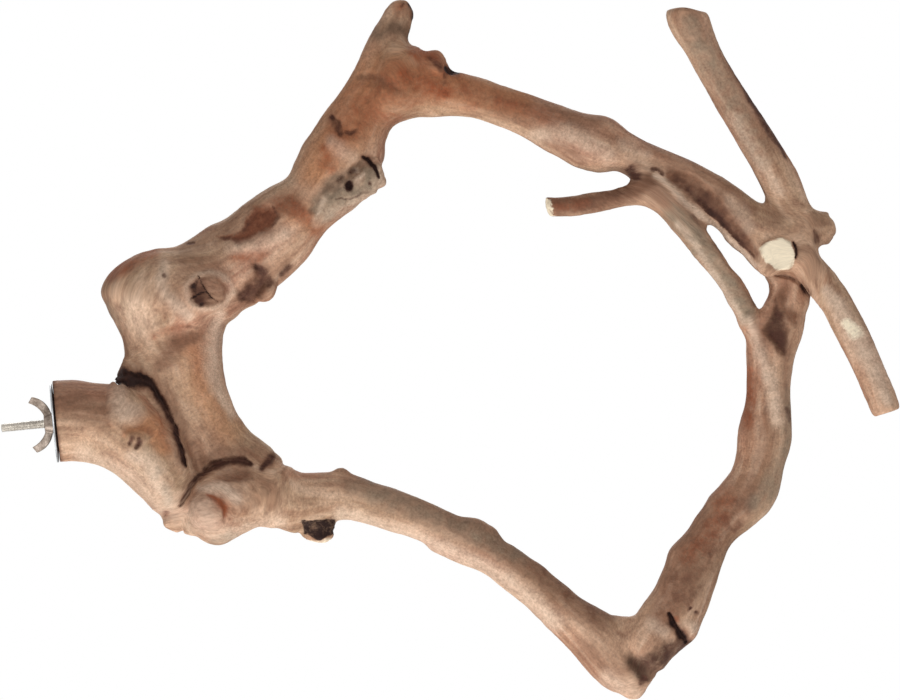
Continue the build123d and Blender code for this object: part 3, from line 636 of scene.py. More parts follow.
# A form eases out at its edge. A groove is black with bark in its middle, then dark with painted shade,
# with a brown halo of painted shade round it. Reaches are in half widths.
FORM_EDGE = 1.1
STAIN_EDGE, GROOVE_WALL = (0.1, 1.3), (0.1, 1.05)
BARK_REACH, FOLD_SHADE_REACH, HALO_SHADE_REACH = (0.0, 1.5), (0.1, 1.8), (0.6, 2.8)
FOLD_SHADE_GAIN, HALO_SHADE_GAIN, BARK_FROM = 1.2, 0.95, (0.6, 0.9)
for height, flat, path in FORMS:
    raised += height * front * (1 - ramp(spread(path), flat, FORM_EDGE))
for side, depth, black, path in GROOVES:
    far = spread(path)
    sunk = np.maximum(sunk, depth * side * (1 - ramp(far, *GROOVE_WALL)))
    tint("fold_and_shade", side * min(1, FOLD_SHADE_GAIN * black) * (1 - ramp(far, *FOLD_SHADE_REACH)))
    tint("bark", side * ramp(black, *BARK_FROM) * (1 - ramp(far, *BARK_REACH)))
    tint("brown", HALO_SHADE_GAIN * black * side * (1 - ramp(far, *HALO_SHADE_REACH)))
for side, name, strength, path in STAINS:
    tint(name, strength * side * (1 - ramp(spread(path), *STAIN_EDGE)))

# Faces with a crisp edge: the pruned stub's cream end grain, and the bark left on the short stub and in the
# notch over the lobe. Edges are in millimetres in from the outline.
PRUNED_FACE = [(477.4, 70.5), (482.5, 75.2), (493, 76.5), (498.8, 73), (501, 65.5), (499.5, 57.5),
               (495.5, 54), (488, 55.5), (481, 61)]
BARK_FACE = [(156.5, -79.5), (179.5, -81.5), (178.5, -91.5), (168, -95), (157, -89.5)]
NOTCH_BARK = [(41, 19.5), (44, 27), (49.5, 31), (65, 25), (68, 20), (61, 21), (54, 20), (49.5, 15)]
CUT_EDGE, BARK_EDGE, NOTCH_EDGE = (-0.6, 0.8), (-0.5, 1.2), (-0.8, 1.4)
BARK_STRENGTH, NOTCH_DEPTH = 0.95, 4.0
tint("cut", front * ramp(inside(PRUNED_FACE), *CUT_EDGE))
tint("bark", BARK_STRENGTH * around * ramp(inside(BARK_FACE), *BARK_EDGE))
notch = inside(NOTCH_BARK)
sunk = np.maximum(sunk, NOTCH_DEPTH * front * ramp(notch, 0, NOTCH_DEPTH))
tint("bark", around * ramp(notch, *NOTCH_EDGE))

# Hollows with an outline: behind the twig's foot, beside the knot, the long scoop and the valley between the
# upper limb's strands. Each has a depth, a colour with its strength, and a brown halo.
TWIG_HOLLOW = [(486, 37), (493, 15), (490, -5), (482, 3), (474, 16), (480, 23)]
KNOT_HOLLOW = [(128.5, 74.5), (134.5, 80), (141.5, 86), (143, 91), (151.5, 84.5), (151, 77.5),
               (147, 71.5), (137, 67), (130, 66.5)]
SCOOP = [(119, 113), (134, 106.5), (147, 110), (156.5, 114.5), (164, 123.5), (161, 128.5), (152, 130.5),
         (145.5, 130), (139.5, 122), (136, 115.5), (128, 113)]
VALLEY = [(421, 123), (428, 128), (440, 124.5), (450.5, 113), (457.5, 101.5), (464, 90), (470, 78.5),
          (475, 69.5), (477, 62), (470, 67.5), (461.5, 79), (452, 91), (441, 101.5), (430, 111)]
HOLLOW_WALL, HOLLOW_EDGE, HOLLOW_SHADE_HALO, HALO_SHADE_DARKER = (-1.5, 5), (-2.5, 5), (-4, 3), 1.5
# The brown halo, and the dark, grey and brown colours laid in the hollows, are painted shade; the scoop's red
# is the wood's own
for outline, depth, colour, strength in (
    (TWIG_HOLLOW, 3.6, "grey_stain_and_shade", 0.5),
    (TWIG_HOLLOW, 0, "fold_and_shade", 0.75),
    (KNOT_HOLLOW, 5.0, "fold_and_shade", 0.72),
    (SCOOP, 4.0, "heart", 0.72),
    (SCOOP, 0, "fold_and_shade", 0.48),
    (VALLEY, 5.0, "brown", 0.4),
):
    within = inside(outline)
    sunk = np.maximum(sunk, depth * front * ramp(within, *HOLLOW_WALL))
    tint("brown", min(1, HALO_SHADE_DARKER * strength) * front * ramp(within, *HOLLOW_SHADE_HALO))
    tint(colour, strength * front * ramp(within, *HOLLOW_EDGE))

# The clean lower strand of the upper limb, which stands out against the valley behind it
STRAND = [(414, 126, 2), (422, 118, 2.4), (432, 105, 3), (443, 95.5, 3.2), (454, 84, 3), (464, 72, 2.8),
          (474, 60, 3)]
STRAND_EDGE = (0.8, 1.15)
clean = front * (1 - ramp(spread(STRAND), *STRAND_EDGE))
for name in ("brown", "fold_and_shade", "bark"):
    tints[name] *= 1 - clean

# Cracked knot: an old branch stub that the trunk has closed round with a lip, split from its middle. Its
# left half has darkened more.
KNOT_X, KNOT_Z, KNOT_WIDE, KNOT_HIGH = 110.5, 77.5, 13.5, 11.0
LIP_RING, PALE_RING, LIP_WIDTH, LIP_HEIGHT, KNOT_DEPTH = 1.14, 1.12, 0.18, 0.7, 1.4
LEFT_HALF, LEFT_DARK = (104, 116), (105, 112)
ring = np.hypot((drawn[:, 0] - KNOT_X) / KNOT_WIDE, (drawn[:, 1] - KNOT_Z) / KNOT_HIGH)
raised += LIP_HEIGHT * np.exp(-(((ring - LIP_RING) / LIP_WIDTH) ** 2)) * front
sunk = np.maximum(sunk, KNOT_DEPTH * (1 - ramp(ring, 0.7, 1.05)) * front)
tint("pale", 0.4 * np.exp(-(((ring - PALE_RING) / LIP_WIDTH) ** 2)) * front)
tint("brown", (1 - ramp(ring, 0.75, 1.05)) * (1 - 0.5 * ramp(drawn[:, 0], *LEFT_HALF)) * front)
tint("fold_and_shade", 0.58 * (1 - ramp(ring, 0.8, 1.02)) * (1 - 0.8 * ramp(drawn[:, 0], *LEFT_DARK)) * front)
for depth, black, path in (
    (3.6, 0.8, [(104.6, 88, 0.5), (106.8, 81, 1.0), (109.4, 76, 0.8), (113, 72.6, 0.6),
                (115.5, 69.5, 0.3)]),
    (3.2, 0.7, [(108.4, 77, 0.6), (103, 75.8, 0.9), (97.6, 73.4, 0.6)]),
    (2.2, 0.6, [(103.5, 84, 2.0), (100.5, 81, 3), (100.5, 78, 2.4)]),
    (1.4, 0.7, [(105.3, 69.2, 1.9)]),
):
    far = spread(path)
    sunk = np.maximum(sunk, depth * front * (1 - ramp(far, 0.1, 1.1)))
    tint("fold_and_shade", 0.62 * front * (1 - ramp(far, 0.4, 2.2)))
    tint("bark", black * front * (1 - ramp(far, 0.3, 1.2)))

# Rough places, where the wood was never smoothed: place in the front view, reach and height
ROUGH = (
    (206, 134, 16, 1.4), (222, 142, 16, 1.4), (108, 78, 14, 0.9), (140, 77, 14, 1.2), (168, -88, 13, 1.2),
    (150, 120, 12, 0.8), (280, 212, 12, 0.8), (450, 74, 30, 0.5), (45, 24, 9, 0.8),
)
rough = np.zeros(len(skin))
for x, z, reach, height in ROUGH:
    away = np.hypot(skin[:, 0] - x, skin[:, 2] - z)
    rough = np.maximum(rough, height * (1 - ramp(away, 0.5 * reach, reach)))

# Fine lumps everywhere: height, how much of the roughness is added to it, length, width and seed
FINE_LUMPS = ((0.3, 1.0, 16, 5, 5.3), (0.14, 0.7, 5, 2.4, 2.9))
fine = sum((least + more * rough) * grown(long, wide, seed) for least, more, long, wide, seed in FINE_LUMPS)
free = ramp(skin[:, 0], FACE_KEPT, FACE_FREE)
skin += outward * ((raised + fine * (1 - sawn)) * free)[:, None]

# The stub's sawn face isn't quite square: it is clean to its edge, and behind it comes up to the large
# washer's rim
WASHER_SEAT, WASHER_REACH, WASHER_RISE = 12.0, 12.5, 1.4
FACE, FACE_BAND, FACE_TURN, FACE_LEAN, LEAN_SPAN = 1.2, 4, -0.2, 0.8, (-8, 12)
face = (skin[:, 0] < FACE_BAND) & (outward[:, 0] < FACE_TURN)
off_seat = np.clip((np.hypot(skin[:, 1], skin[:, 2]) - WASHER_SEAT) / WASHER_REACH, 0, 1)
skin[face, 0] = (FACE - FACE_LEAN * WASHER_RISE * off_seat * ramp(skin[:, 1], *LEAN_SPAN))[face]
# The face is painted brown, as shade in the narrow gap behind the washer
GAP_SHADE = 0.8
tint("brown", GAP_SHADE * face)

# Grooves and hollows are sunk straight in from the front and the back, so they keep their drawn place
skin[:, 1] += sunk * free * np.where(outward[:, 1] > 0, -1, 1)

# The short shoot was cut aslant, so its cream end grain shows from the front
SHOOT_END, SHOOT_LONG, SHOOT_HIGH = (337.2, 112), 10, 12
SHOOT_SLANT, SHOOT_LEAN = 4.5, 3.0
shoot = (np.abs(skin[:, 0] - SHOOT_END[0]) < SHOOT_LONG) & (np.abs(skin[:, 2] - SHOOT_END[1]) < SHOOT_HIGH)
last, size = skin[shoot].max(axis=0), np.ptp(skin[shoot], axis=0)
slant = SHOOT_END[0] + SHOOT_SLANT * (last[1] - skin[:, 1]) / size[1]
slant += SHOOT_LEAN * (last[2] - skin[:, 2]) / size[2]
shoot &= skin[:, 0] < slant
skin[shoot, 0] = slant[shoot]
tint("cut", shoot)


# Sandblasted hardwood: matt and softly mottled, tan to pinkish brown, with streaks and fine fibres along the
# limbs, amber sapwood round the crown, red heartwood at the knots, grey weathering, near-black bark left in
# the folds, and cream sawn ends, with painted shade in creases and hollows and painted highlights on some
# undersides and bulges
def srgb(code):
    """Linear colour from an sRGB hex value."""
    parts = [int(code[k : k + 2], 16) / 255 for k in (1, 3, 5)]
    return [p / 12.92 if p <= 0.04045 else ((p + 0.055) / 1.055) ** 2.4 for p in parts] + [1]


def node(tree, kind, inputs=(), **settings):
    """Add a node, give it its settings, and set or link its inputs."""
    made = tree.nodes.new(kind)
    for key, value in settings.items():
        setattr(made, key, value)
    for socket, value in dict(inputs).items():
        if isinstance(value, bpy.types.NodeSocket):
            tree.links.new(value, made.inputs[socket])
        else:
            made.inputs[socket].default_value = value
    return made


def fresh(name):
    """A new material with its shader and output, and nothing else."""
    material = bpy.data.materials.new(name)
    material.use_nodes = True
    tree = material.node_tree
    tree.nodes.clear()
    shader = node(tree, "ShaderNodeBsdfPrincipled")
    node(tree, "ShaderNodeOutputMaterial", {"Surface": shader.outputs["BSDF"]})
    return material, tree, shader


PER_METRE = 1000
hardwood, tree, shader = fresh("sandblasted_hardwood")
along = node(tree, "ShaderNodeAttribute", attribute_name="grain").outputs["Vector"]

# Patterns in the wood: scale along the grain, start, size across the grain in millimetres, detail, roughness
pattern = {}
for name, stretch, start, size, detail, rough in (
    ("tone", 0.28, 0.3, 34, 3, 0.55),
    ("patch", 0.28, 0, 26, 4, 0.6),
    ("mottle", 1, 0, 9, 5, 0.62),
    ("flute", 0.13, 0, 6.5, 3, 0.55),
    ("fleck", 1, 0, 3.4, 4, 0.7),
    ("grit", 1, 0, 1.5, 2, 0.6),
    ("fibre", 0.07, 0, 2.4, 3, 0.6),
):
    drawn_out = {"Vector": along, "Location": (start, 0, 0), "Scale": (stretch, 1, 1)}
    place = node(tree, "ShaderNodeMapping", drawn_out).outputs["Vector"]
    speckle = {"Vector": place, "Scale": PER_METRE / size, "Detail": detail, "Roughness": rough}
    pattern[name] = node(tree, "ShaderNodeTexNoise", speckle).outputs["Fac"]

# A Mix node's sockets share their names, so they go by number: the share, then from and to for colours and
# for plain numbers
SHARE, COLOUR_FROM, COLOUR_TO, NUMBER_FROM, NUMBER_TO, COLOUR_OUT = 0, 6, 7, 2, 3, 2
colour = srgb("#ac866b")
for name, low, high, most, code in (
    ("tone", 0.5, 0.7, 0.7, "#b27c66"),
    ("tone", 0.5, 0.3, 0.7, "#a48f73"),
    ("patch", 0.45, 0.7, 0.75, "#c8a387"),
    ("patch", 0.5, 0.25, 0.8, "#966b52"),
    ("mottle", 0.5, 0.75, 0.45, "#ccaa90"),
    ("mottle", 0.5, 0.25, 0.5, "#8d6550"),
    # The flutes are paler on their crests and darker in their troughs, on the same pattern that raises them
    # in the bump: painted light and shade
    ("flute", 0.5, 0.72, 0.6, "#d4b399"),
    ("flute", 0.5, 0.28, 0.7, "#7d5844"),
):
    part = {"Value": pattern[name], "From Min": low, "From Max": high, "To Max": most}
    amount = node(tree, "ShaderNodeMapRange", part).outputs[0]
    mixed = {SHARE: amount, COLOUR_FROM: colour, COLOUR_TO: srgb(code)}
    colour = node(tree, "ShaderNodeMix", mixed, data_type="RGBA").outputs[COLOUR_OUT]

# Colours that the marks lay on the wood, lowest first: how crisp their edge is, and how ragged
UNEVEN_GRIT, UNEVEN_GAIN, UNEVEN_MIDDLE, RAGGED_MOST = 0.3, 4.5, -2.9, 1.25
broken = {0: pattern["grit"], 1: UNEVEN_GRIT, 2: pattern["mottle"]}
uneven = node(tree, "ShaderNodeMath", broken, operation="MULTIPLY_ADD").outputs[0]
broken = {0: uneven, 1: UNEVEN_GAIN, 2: UNEVEN_MIDDLE}
uneven = node(tree, "ShaderNodeMath", broken, operation="MULTIPLY_ADD").outputs[0]
for name, code, edge, ragged in (
    ("amber", "#b47a52", 1.0, 0.3),
    ("brown", "#785440", 1.0, 1.0),
    ("grey_stain_and_shade", "#584535", 1.0, 1.0),
    ("weather", "#8e7b67", 1.1, 1.0),
    ("heart", "#8c4c2f", 1.2, 0.8),
    ("pale", "#d2b8a2", 1.0, 0.35),
    ("cut", "#efdfc4", 1.6, 1.0),
    ("fold_and_shade", "#4f3126", 1.5, 1.0),
    ("bark", "#281510", 2.2, 1.0),
):
    laid = node(tree, "ShaderNodeAttribute", attribute_name=name).outputs["Fac"]
    rest = {0: laid, 1: -ragged, 2: RAGGED_MOST * ragged}
    rest = node(tree, "ShaderNodeMath", rest, operation="MULTIPLY_ADD").outputs[0]
    rest = node(tree, "ShaderNodeMath", {0: rest, 1: laid}, operation="MULTIPLY").outputs[0]
    amount = node(tree, "ShaderNodeMath", {0: rest, 1: uneven, 2: laid}, operation="MULTIPLY_ADD").outputs[0]
    crisp = {0: amount, 1: edge, 2: 0.5 - 0.5 * edge}
    amount = node(tree, "ShaderNodeMath", crisp, operation="MULTIPLY_ADD", use_clamp=True).outputs[0]
    if name == "bark":
        flecked = {"Value": pattern["fleck"], "From Min": 0.45, "From Max": 0.75}
        speck = node(tree, "ShaderNodeMapRange", flecked | {"To Min": 1.0, "To Max": 0.55}).outputs[0]
        amount = node(tree, "ShaderNodeMath", {0: amount, 1: speck}, operation="MULTIPLY").outputs[0]
    mixed = {SHARE: amount, COLOUR_FROM: colour, COLOUR_TO: srgb(code)}
    colour = node(tree, "ShaderNodeMix", mixed, data_type="RGBA").outputs[COLOUR_OUT]

# Light and dark grains lie over all of it, less so on the sawn ends, which are smoother as well
CUT_EVENNESS, CUT_BUMP, WOOD_BUMP, BUMP_HEIGHT = 0.6, 0.08, 0.45, 0.6
planed = node(tree, "ShaderNodeAttribute", attribute_name="cut").outputs["Fac"]
shade = 1.0
for name, depth in (("fleck", 0.85), ("grit", 0.95), ("fibre", 0.12)):
    shade = {0: pattern[name], 1: depth, 2: shade}
    shade = node(tree, "ShaderNodeMath", shade, operation="MULTIPLY_ADD").outputs[0]
    shade = node(tree, "ShaderNodeMath", {0: shade, 1: 0.5 * depth}, operation="SUBTRACT").outputs[0]
even = node(tree, "ShaderNodeMath", {0: planed, 1: CUT_EVENNESS}, operation="MULTIPLY").outputs[0]
shade = node(tree, "ShaderNodeMix", {SHARE: even, NUMBER_FROM: shade, NUMBER_TO: 1.0}).outputs[0]
colour = node(tree, "ShaderNodeVectorMath", {0: colour, "Scale": shade}, operation="SCALE").outputs[0]
tree.links.new(colour, shader.inputs["Base Color"])
shader.inputs["Roughness"].default_value = 0.8
shader.inputs["Specular IOR Level"].default_value = 0.25
relief = pattern["grit"]
for name, height in (("fibre", 0.1), ("mottle", 1.5), ("flute", 1.8)):
    relief = {0: pattern[name], 1: height, 2: relief}
    relief = node(tree, "ShaderNodeMath", relief, operation="MULTIPLY_ADD").outputs[0]
smooth = {"Value": planed, "To Min": WOOD_BUMP, "To Max": CUT_BUMP}
smooth = node(tree, "ShaderNodeMapRange", smooth).outputs[0]
bump = node(tree, "ShaderNodeBump", {"Height": relief, "Strength": smooth, "Distance": BUMP_HEIGHT * MM})
tree.links.new(bump.outputs["Normal"], shader.inputs["Normal"])

branch.data.vertices.foreach_set("co", (skin * MM).ravel())
for name, share in tints.items():
    branch.data.attributes.new(name, "FLOAT", "POINT").data.foreach_set("value", share)
branch.modifiers.new("thin", "DECIMATE").ratio = min(1.0, SKIN_FACES / (2 * len(quads)))
settle(branch)
branch.data.materials.clear()
branch.data.materials.append(hardwood)
branch.data.shade_smooth()
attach(branch, "branch")
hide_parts(*LIMBS)

# Hanger bolt
# A zinc-plated steel rod with an M6 machine thread outside for the nut and a coarse wood thread inside.
# It is screwed into the sawn end as far as the large washer, and its point stays hidden in the wood.
ROD_SIZES = {
    "Crest": 3.0,
    "Machine depth": 0.45,
    "Machine pitch": 1.0,
    "Machine length": 36.5,
    "Wood depth": 0.8,
    "Wood pitch": 2.6,
    "Wood length": 33.0,
    "Point length": 7.0,
    "Chamfer": 0.8,
}
ROD_SIDES = 32
RIDGE_SHARE, POINT_RADIUS = 0.9, 0.3
CLOUD_SIZE, SPECK_SIZE, DENT_DEPTH, STAIN_DULL = 6, 0.9, 0.3, 0.25


def plated(name, clean, stained, rough):
    """Plated steel: a clean colour with cloudy stains, and a shine that goes dull where it is stained."""
    metal, tree, shader = fresh(name)
    place = node(tree, "ShaderNodeTexCoord").outputs["Object"]
    cloudy = {"Vector": place, "Scale": PER_METRE / CLOUD_SIZE, "Detail": 5, "Roughness": 0.65}
    cloud = node(tree, "ShaderNodeTexNoise", cloudy).outputs["Fac"]
    specked = {"Vector": place, "Scale": PER_METRE / SPECK_SIZE, "Detail": 2}
    speck = node(tree, "ShaderNodeTexNoise", specked).outputs["Fac"]
    stain = node(tree, "ShaderNodeMath", {0: cloud, 1: 0.75, 2: 0.12}, operation="MULTIPLY_ADD").outputs[0]
    stain = node(tree, "ShaderNodeMath", {0: speck, 1: 0.25, 2: stain}, operation="MULTIPLY_ADD").outputs[0]
    dirt = node(tree, "ShaderNodeMapRange", {"Value": stain, "From Min": 0.5, "From Max": 0.75}).outputs[0]
    mixed = {SHARE: dirt, COLOUR_FROM: srgb(clean), COLOUR_TO: srgb(stained)}
    tone = node(tree, "ShaderNodeMix", mixed, data_type="RGBA").outputs[COLOUR_OUT]
    dull = {"Value": dirt, "To Min": rough, "To Max": rough + STAIN_DULL}
    dull = node(tree, "ShaderNodeMapRange", dull).outputs[0]
    dents = node(tree, "ShaderNodeBump", {"Height": stain, "Strength": 0.15, "Distance": DENT_DEPTH * MM})
    tree.links.new(tone, shader.inputs["Base Color"])
    tree.links.new(dull, shader.inputs["Roughness"])
    tree.links.new(dents.outputs["Normal"], shader.inputs["Normal"])
    shader.inputs["Metallic"].default_value = 1.0
    return metal


def dressed(piece, material, body, replaced, crease=35):
    """Give a finished metal piece its material, its creases, and its place in the frame."""
    piece.data.materials.clear()
    piece.data.materials.append(material)
    piece.data.shade_smooth()
    piece.data.set_sharp_from_angle(angle=math.radians(crease))
    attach(piece, body)
    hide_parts(replaced)


# Bright zinc: pale warm grey with a soft shine
rod_zinc = plated("rod_zinc", "#ddd8d0", "#b5aea5", 0.32)
tree = bpy.data.node_groups.new("threaded_rod", "GeometryNodeTree")
tree.interface.new_socket("Geometry", in_out="OUTPUT", socket_type="NodeSocketGeometry")
rod_keys = {}
for name in ROD_SIZES:
    socket = tree.interface.new_socket(name, in_out="INPUT", socket_type="NodeSocketFloat")
    rod_keys[name] = socket.identifier
given = node(tree, "NodeGroupInput").outputs
size = {name: given[name] for name in ROD_SIZES}
size["Wood run"] = size["Wood length"]

# Sizes of the rod that follow from the others
for name, first, operation, second in (
    ("Machine root", "Crest", "SUBTRACT", "Machine depth"),
    ("Machine run", "Machine length", "SUBTRACT", "Chamfer"),
    ("Machine half", "Machine run", "MULTIPLY", 0.5),
    ("Machine middle", "Chamfer", "ADD", "Machine half"),
    ("Machine turns", "Machine run", "DIVIDE", "Machine pitch"),
    ("Machine ridge", "Machine pitch", "MULTIPLY", RIDGE_SHARE),
    ("Machine start", "Chamfer", "MULTIPLY", 0.8),
    ("Tip", "Machine root", "SUBTRACT", "Chamfer"),
    ("Wood root", "Crest", "SUBTRACT", "Wood depth"),
    ("Wood half", "Wood run", "MULTIPLY", 0.5),
    ("Wood middle", "Machine length", "ADD", "Wood half"),
    ("Wood turns", "Wood run", "DIVIDE", "Wood pitch"),
    ("Wood ridge", "Wood pitch", "MULTIPLY", RIDGE_SHARE),
    ("Wood end", "Machine length", "ADD", "Wood run"),
):
    pair = {0: size[first], 1: size.get(second, second)}
    size[name] = node(tree, "ShaderNodeMath", pair, operation=operation).outputs[0]


def moved(shape, height):
    """A part of the rod set this far up its axis."""
    up = node(tree, "ShaderNodeCombineXYZ", {"Z": height})
    return node(tree, "GeometryNodeTransform", {"Geometry": shape, "Translation": up.outputs[0]}).outputs[0]


def core(end):
    """The rod's round core under one of its two threads."""
    barrel = {"Vertices": ROD_SIDES, "Radius": size[end + " root"], "Depth": size[end + " run"]}
    return moved(node(tree, "GeometryNodeMeshCylinder", barrel).outputs["Mesh"], size[end + " middle"])


def thread(end):
    """The helical ridge of one of the two threads, whose crest lies on the rod's outside."""
    path = {"Resolution": ROD_SIDES, "Rotations": size[end + " turns"], "Height": size[end + " run"]}
    path |= {"Start Radius": size[end + " root"], "End Radius": size[end + " root"]}
    helix = node(tree, "GeometryNodeCurveSpiral", path)
    upright = node(tree, "GeometryNodeSetCurveNormal", {"Curve": helix.outputs[0]}, mode="Z_UP")
    depth = size[end + " depth"]
    ridge = {"Width": size[end + " ridge"], "Bottom Height": depth, "Top Height": depth}
    shape = node(tree, "GeometryNodeCurvePrimitiveQuadrilateral", ridge, mode="KITE")
    swept = {"Curve": upright.outputs[0], "Profile Curve": shape.outputs[0], "Fill Caps": True}
    return node(tree, "GeometryNodeCurveToMesh", swept).outputs[0]


tip = {"Vertices": ROD_SIDES, "Radius Bottom": size["Tip"], "Radius Top": size["Machine root"]}
tip["Depth"] = size["Chamfer"]
point = {"Vertices": ROD_SIDES, "Radius Bottom": size["Wood root"], "Radius Top": POINT_RADIUS * MM}
point["Depth"] = size["Point length"]
rod_parts = [core("Machine"), core("Wood"), node(tree, "GeometryNodeMeshCone", tip).outputs["Mesh"]]
rod_parts.append(moved(node(tree, "GeometryNodeMeshCone", point).outputs["Mesh"], size["Wood end"]))
rod_parts.append(moved(thread("Machine"), size["Machine start"]))
rod_parts.append(moved(thread("Wood"), size["Machine length"]))
whole = node(tree, "GeometryNodeJoinGeometry")
for shape in rod_parts:
    tree.links.new(shape, whole.inputs[0])
laid_down = {"Geometry": whole.outputs[0], "Translation": (-ROD_SIZES["Machine length"] * MM, 0, 0),
             "Rotation": (0, math.pi / 2, 0)}
turned = node(tree, "GeometryNodeTransform", laid_down)
real = node(tree, "GeometryNodeRealizeInstances", {0: turned.outputs[0]})
coated = node(tree, "GeometryNodeSetMaterial", {"Geometry": real.outputs[0], "Material": rod_zinc})
node(tree, "NodeGroupOutput", {0: coated.outputs[0]})

rod = bpy.data.objects.new("hanger_bolt_rod", bpy.data.meshes.new("hanger_bolt_rod"))
bpy.context.scene.collection.objects.link(rod)
grow = rod.modifiers.new("thread", "NODES")
grow.node_group = tree
for name, value in ROD_SIZES.items():
    grow[rod_keys[name]] = value * MM
settle(rod)
dressed(rod, rod_zinc, "branch", "hanger_bolt")

# Large washer
# A thin zinc-plated disc with a rolled dish: its middle seats on the sawn face and its rim stands off the
# wood. The edges are eased as punching and plating leave them.
FENDER_PROFILE = (
    (0, 3.2), (0, 12), (-1.4, 24.5), (-1.4, 26.5), (-0.2, 26.5), (-0.2, 24.5), (1.2, 12), (1.2, 3.2),
)
FENDER_EASE = 0.35
LATHE_SIDES = 120


def eased(profile, by):
    """A closed profile with each corner drawn as a small arc that starts this far from it."""
    points = np.array(profile, float)
    soft = []
    for before, corner, after in zip(np.roll(points, 1, axis=0), points, np.roll(points, -1, axis=0)):
        first = corner + (before - corner) * by / np.linalg.norm(before - corner)
        last = corner + (after - corner) * by / np.linalg.norm(after - corner)
        for t in (0.0, 0.33, 0.67, 1.0):
            soft.append((1 - t) ** 2 * first + 2 * t * (1 - t) * corner + t**2 * last)
    return soft


def lathed(name, profile):
    """A new piece turned round the bolt's axis from a closed profile of x and radius in millimetres."""
    rows, corners, faces = len(profile), [], []
    for k in range(LATHE_SIDES):
        turn = k * 2 * math.pi / LATHE_SIDES
        corners += [(x * MM, r * math.cos(turn) * MM, r * math.sin(turn) * MM) for x, r in profile]
    for k in range(LATHE_SIDES):
        here, there = k * rows, (k + 1) % LATHE_SIDES * rows
        for j in range(rows):
            step = (j + 1) % rows
            faces.append((here + j, there + j, there + step, here + step))
    mesh = bpy.data.meshes.new(name)
    mesh.from_pydata(corners, [], faces)
    piece = bpy.data.objects.new(name, mesh)
    bpy.context.scene.collection.objects.link(piece)
    return piece


# Blue-grey zinc: cooler than the rod, cloudy from the plating bath
washer_zinc = plated("washer_zinc", "#b9bcbf", "#8b8d8f", 0.3)
fender = lathed("fender_washer_disc", eased(FENDER_PROFILE, FENDER_EASE))
dressed(fender, washer_zinc, "branch", "fender_washer")

# Small washer
# A flat punched disc under the nut. It travels along the rod with the nut and carries its load.
CLAMP_PROFILE = ((-1.6, 3.2), (-1.6, 9), (0, 9), (0, 3.2))
CLAMP_EASE = 0.3
clamp = lathed("clamp_washer_disc", eased(CLAMP_PROFILE, CLAMP_EASE))
dressed(clamp, washer_zinc, "washer", "clamp_washer")

# Wing nut
# A cast nut: a tapered hub with two curved wings, cast in one, tumbled and plated, so its edges are soft
# and its wings run into the hub.
NUT_GRID = 0.35
NUT_SOFTENING = 6
NUT_CREASE = 80
# Dull zinc: brownish grey, handled and stained
nut_zinc = plated("nut_zinc", "#a3958a", "#75675c", 0.42)
nut = skinned("wing_nut_casting", ["wing_nut"], NUT_GRID)
edges = numbers(nut.data.edges, "vertices", 2, np.int32)
shape = relax(numbers(nut.data.vertices, "co", 3), edges, NUT_SOFTENING)
nut.data.vertices.foreach_set("co", shape.ravel())
dressed(nut, nut_zinc, "nut", "wing_nut", NUT_CREASE)

# Floor, light and camera
# A pale card well below the perch that fades into a white surround, and three soft lamps. The key lamp
# stands low, as in the photograph, where the undersides are bright, and it shines past the card.
FLOOR_HEIGHT = -0.45
FLOOR_RADIUS = 1.5
FLOOR_SIDES = 64
FADE_FROM, FADE_TO = 0.3 * FLOOR_RADIUS, 0.95 * FLOOR_RADIUS
SURROUND_LIGHT = 0.36
MIDDLE = (0.2664, 0.0, 0.0231)
corners = []
for k in range(FLOOR_SIDES):
    turn = k * 2 * math.pi / FLOOR_SIDES
    corners.append((MIDDLE[0] + FLOOR_RADIUS * math.cos(turn), FLOOR_RADIUS * math.sin(turn), FLOOR_HEIGHT))
floor_mesh = bpy.data.meshes.new("floor")
floor_mesh.from_pydata(corners, [], [list(range(FLOOR_SIDES))])
floor = bpy.data.objects.new("floor", floor_mesh)
bpy.context.scene.collection.objects.link(floor)
card, tree, shader = fresh("pale_card")
shader.inputs["Base Color"].default_value = srgb("#f4f4f2")
shader.inputs["Roughness"].default_value = 0.9
spot = node(tree, "ShaderNodeTexCoord").outputs["Object"]
apart = {0: spot, 1: (MIDDLE[0], 0, FLOOR_HEIGHT)}
away = node(tree, "ShaderNodeVectorMath", apart, operation="DISTANCE").outputs["Value"]
fade = {"Value": away, "From Min": FADE_FROM, "From Max": FADE_TO}
fade = node(tree, "ShaderNodeMapRange", fade).outputs[0]
white = node(tree, "ShaderNodeEmission", {"Color": (1, 1, 1, 1)}).outputs[0]
faded = node(tree, "ShaderNodeMixShader", {0: fade, 1: shader.outputs[0], 2: white}).outputs[0]
tree.links.new(faded, tree.nodes["Material Output"].inputs["Surface"])
floor.data.materials.append(card)
floor.visible_shadow = False
floor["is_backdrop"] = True

world = bpy.data.worlds.new("studio")
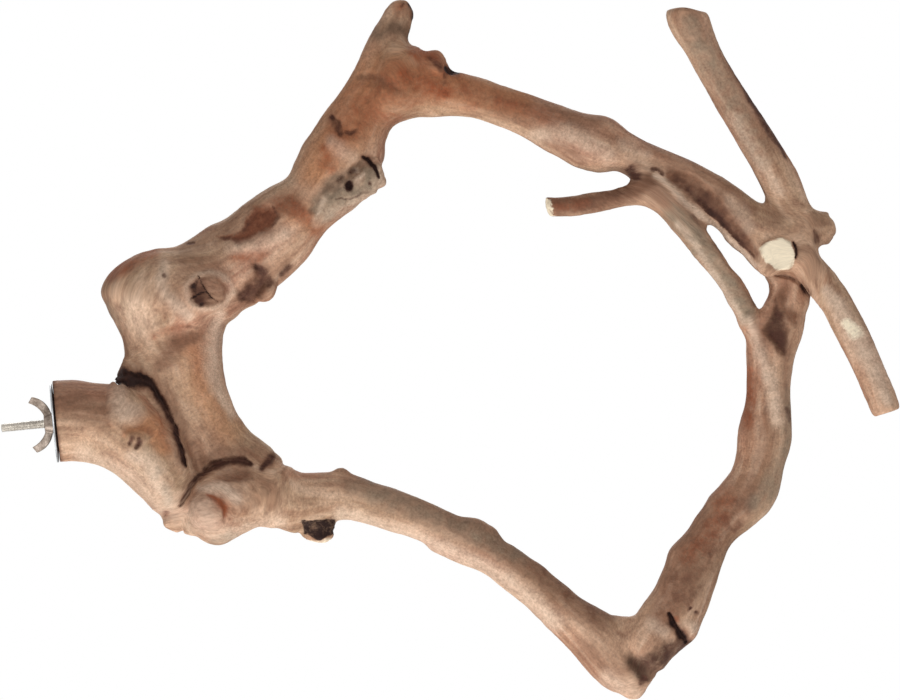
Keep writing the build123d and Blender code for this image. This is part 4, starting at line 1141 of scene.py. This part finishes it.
bpy.context.scene.world = world
world.use_nodes = True
tree = world.node_tree
tree.nodes.clear()
ray = node(tree, "ShaderNodeLightPath").outputs
seen = ray["Is Camera Ray"]
for kind in ("Is Glossy Ray", "Is Transmission Ray"):
    seen = node(tree, "ShaderNodeMath", {0: seen, 1: ray[kind]}, operation="MAXIMUM").outputs[0]
level = node(tree, "ShaderNodeMapRange", {"Value": seen, "To Min": SURROUND_LIGHT, "To Max": 1.0}).outputs[0]
sky = node(tree, "ShaderNodeBackground", {"Color": (1, 1, 1, 1), "Strength": level})
node(tree, "ShaderNodeOutputWorld", {"Surface": sky.outputs[0]})


def aimed(back, up):
    """Turn that looks against back, with up upwards in the picture."""
    back = np.array(back) / np.linalg.norm(back)
    side = np.cross(up, back)
    side /= np.linalg.norm(side)
    return Matrix((side, np.cross(back, side), back)).transposed().to_quaternion()


for name, place, size, power in (
    ("key", (-0.55, -0.55, -1.65), 0.9, 26),
    ("fill", (0.5, -2.3, 0.2), 1.6, 20),
    ("back", (0.3, 1.9, 1.2), 1.6, 28),
):
    lamp = bpy.data.lights.new(name, "AREA")
    lamp.size, lamp.energy = size, power
    lit = bpy.data.objects.new(name, lamp)
    bpy.context.scene.collection.objects.link(lit)
    lit.location = place
    lit.rotation_mode = "QUATERNION"
    lit.rotation_quaternion = aimed(np.array(place) - MIDDLE, (0, 0, 1))
    lit.visible_camera = False

PHOTO_TILT = math.radians(5.5)
PHOTO_WIDTH = 0.600
lens = bpy.data.cameras.new("camera")
lens.sensor_width, lens.lens = 36, 600
camera = bpy.data.objects.new("camera", lens)
bpy.context.scene.collection.objects.link(camera)
camera.location = (MIDDLE[0], -PHOTO_WIDTH * lens.lens / lens.sensor_width, MIDDLE[2])
camera.rotation_mode = "QUATERNION"
camera.rotation_quaternion = aimed((0, -1, 0), (math.sin(PHOTO_TILT), 0, math.cos(PHOTO_TILT)))
bpy.context.scene.camera = camera
bpy.context.scene.view_settings.view_transform = "Standard"

low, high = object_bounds()
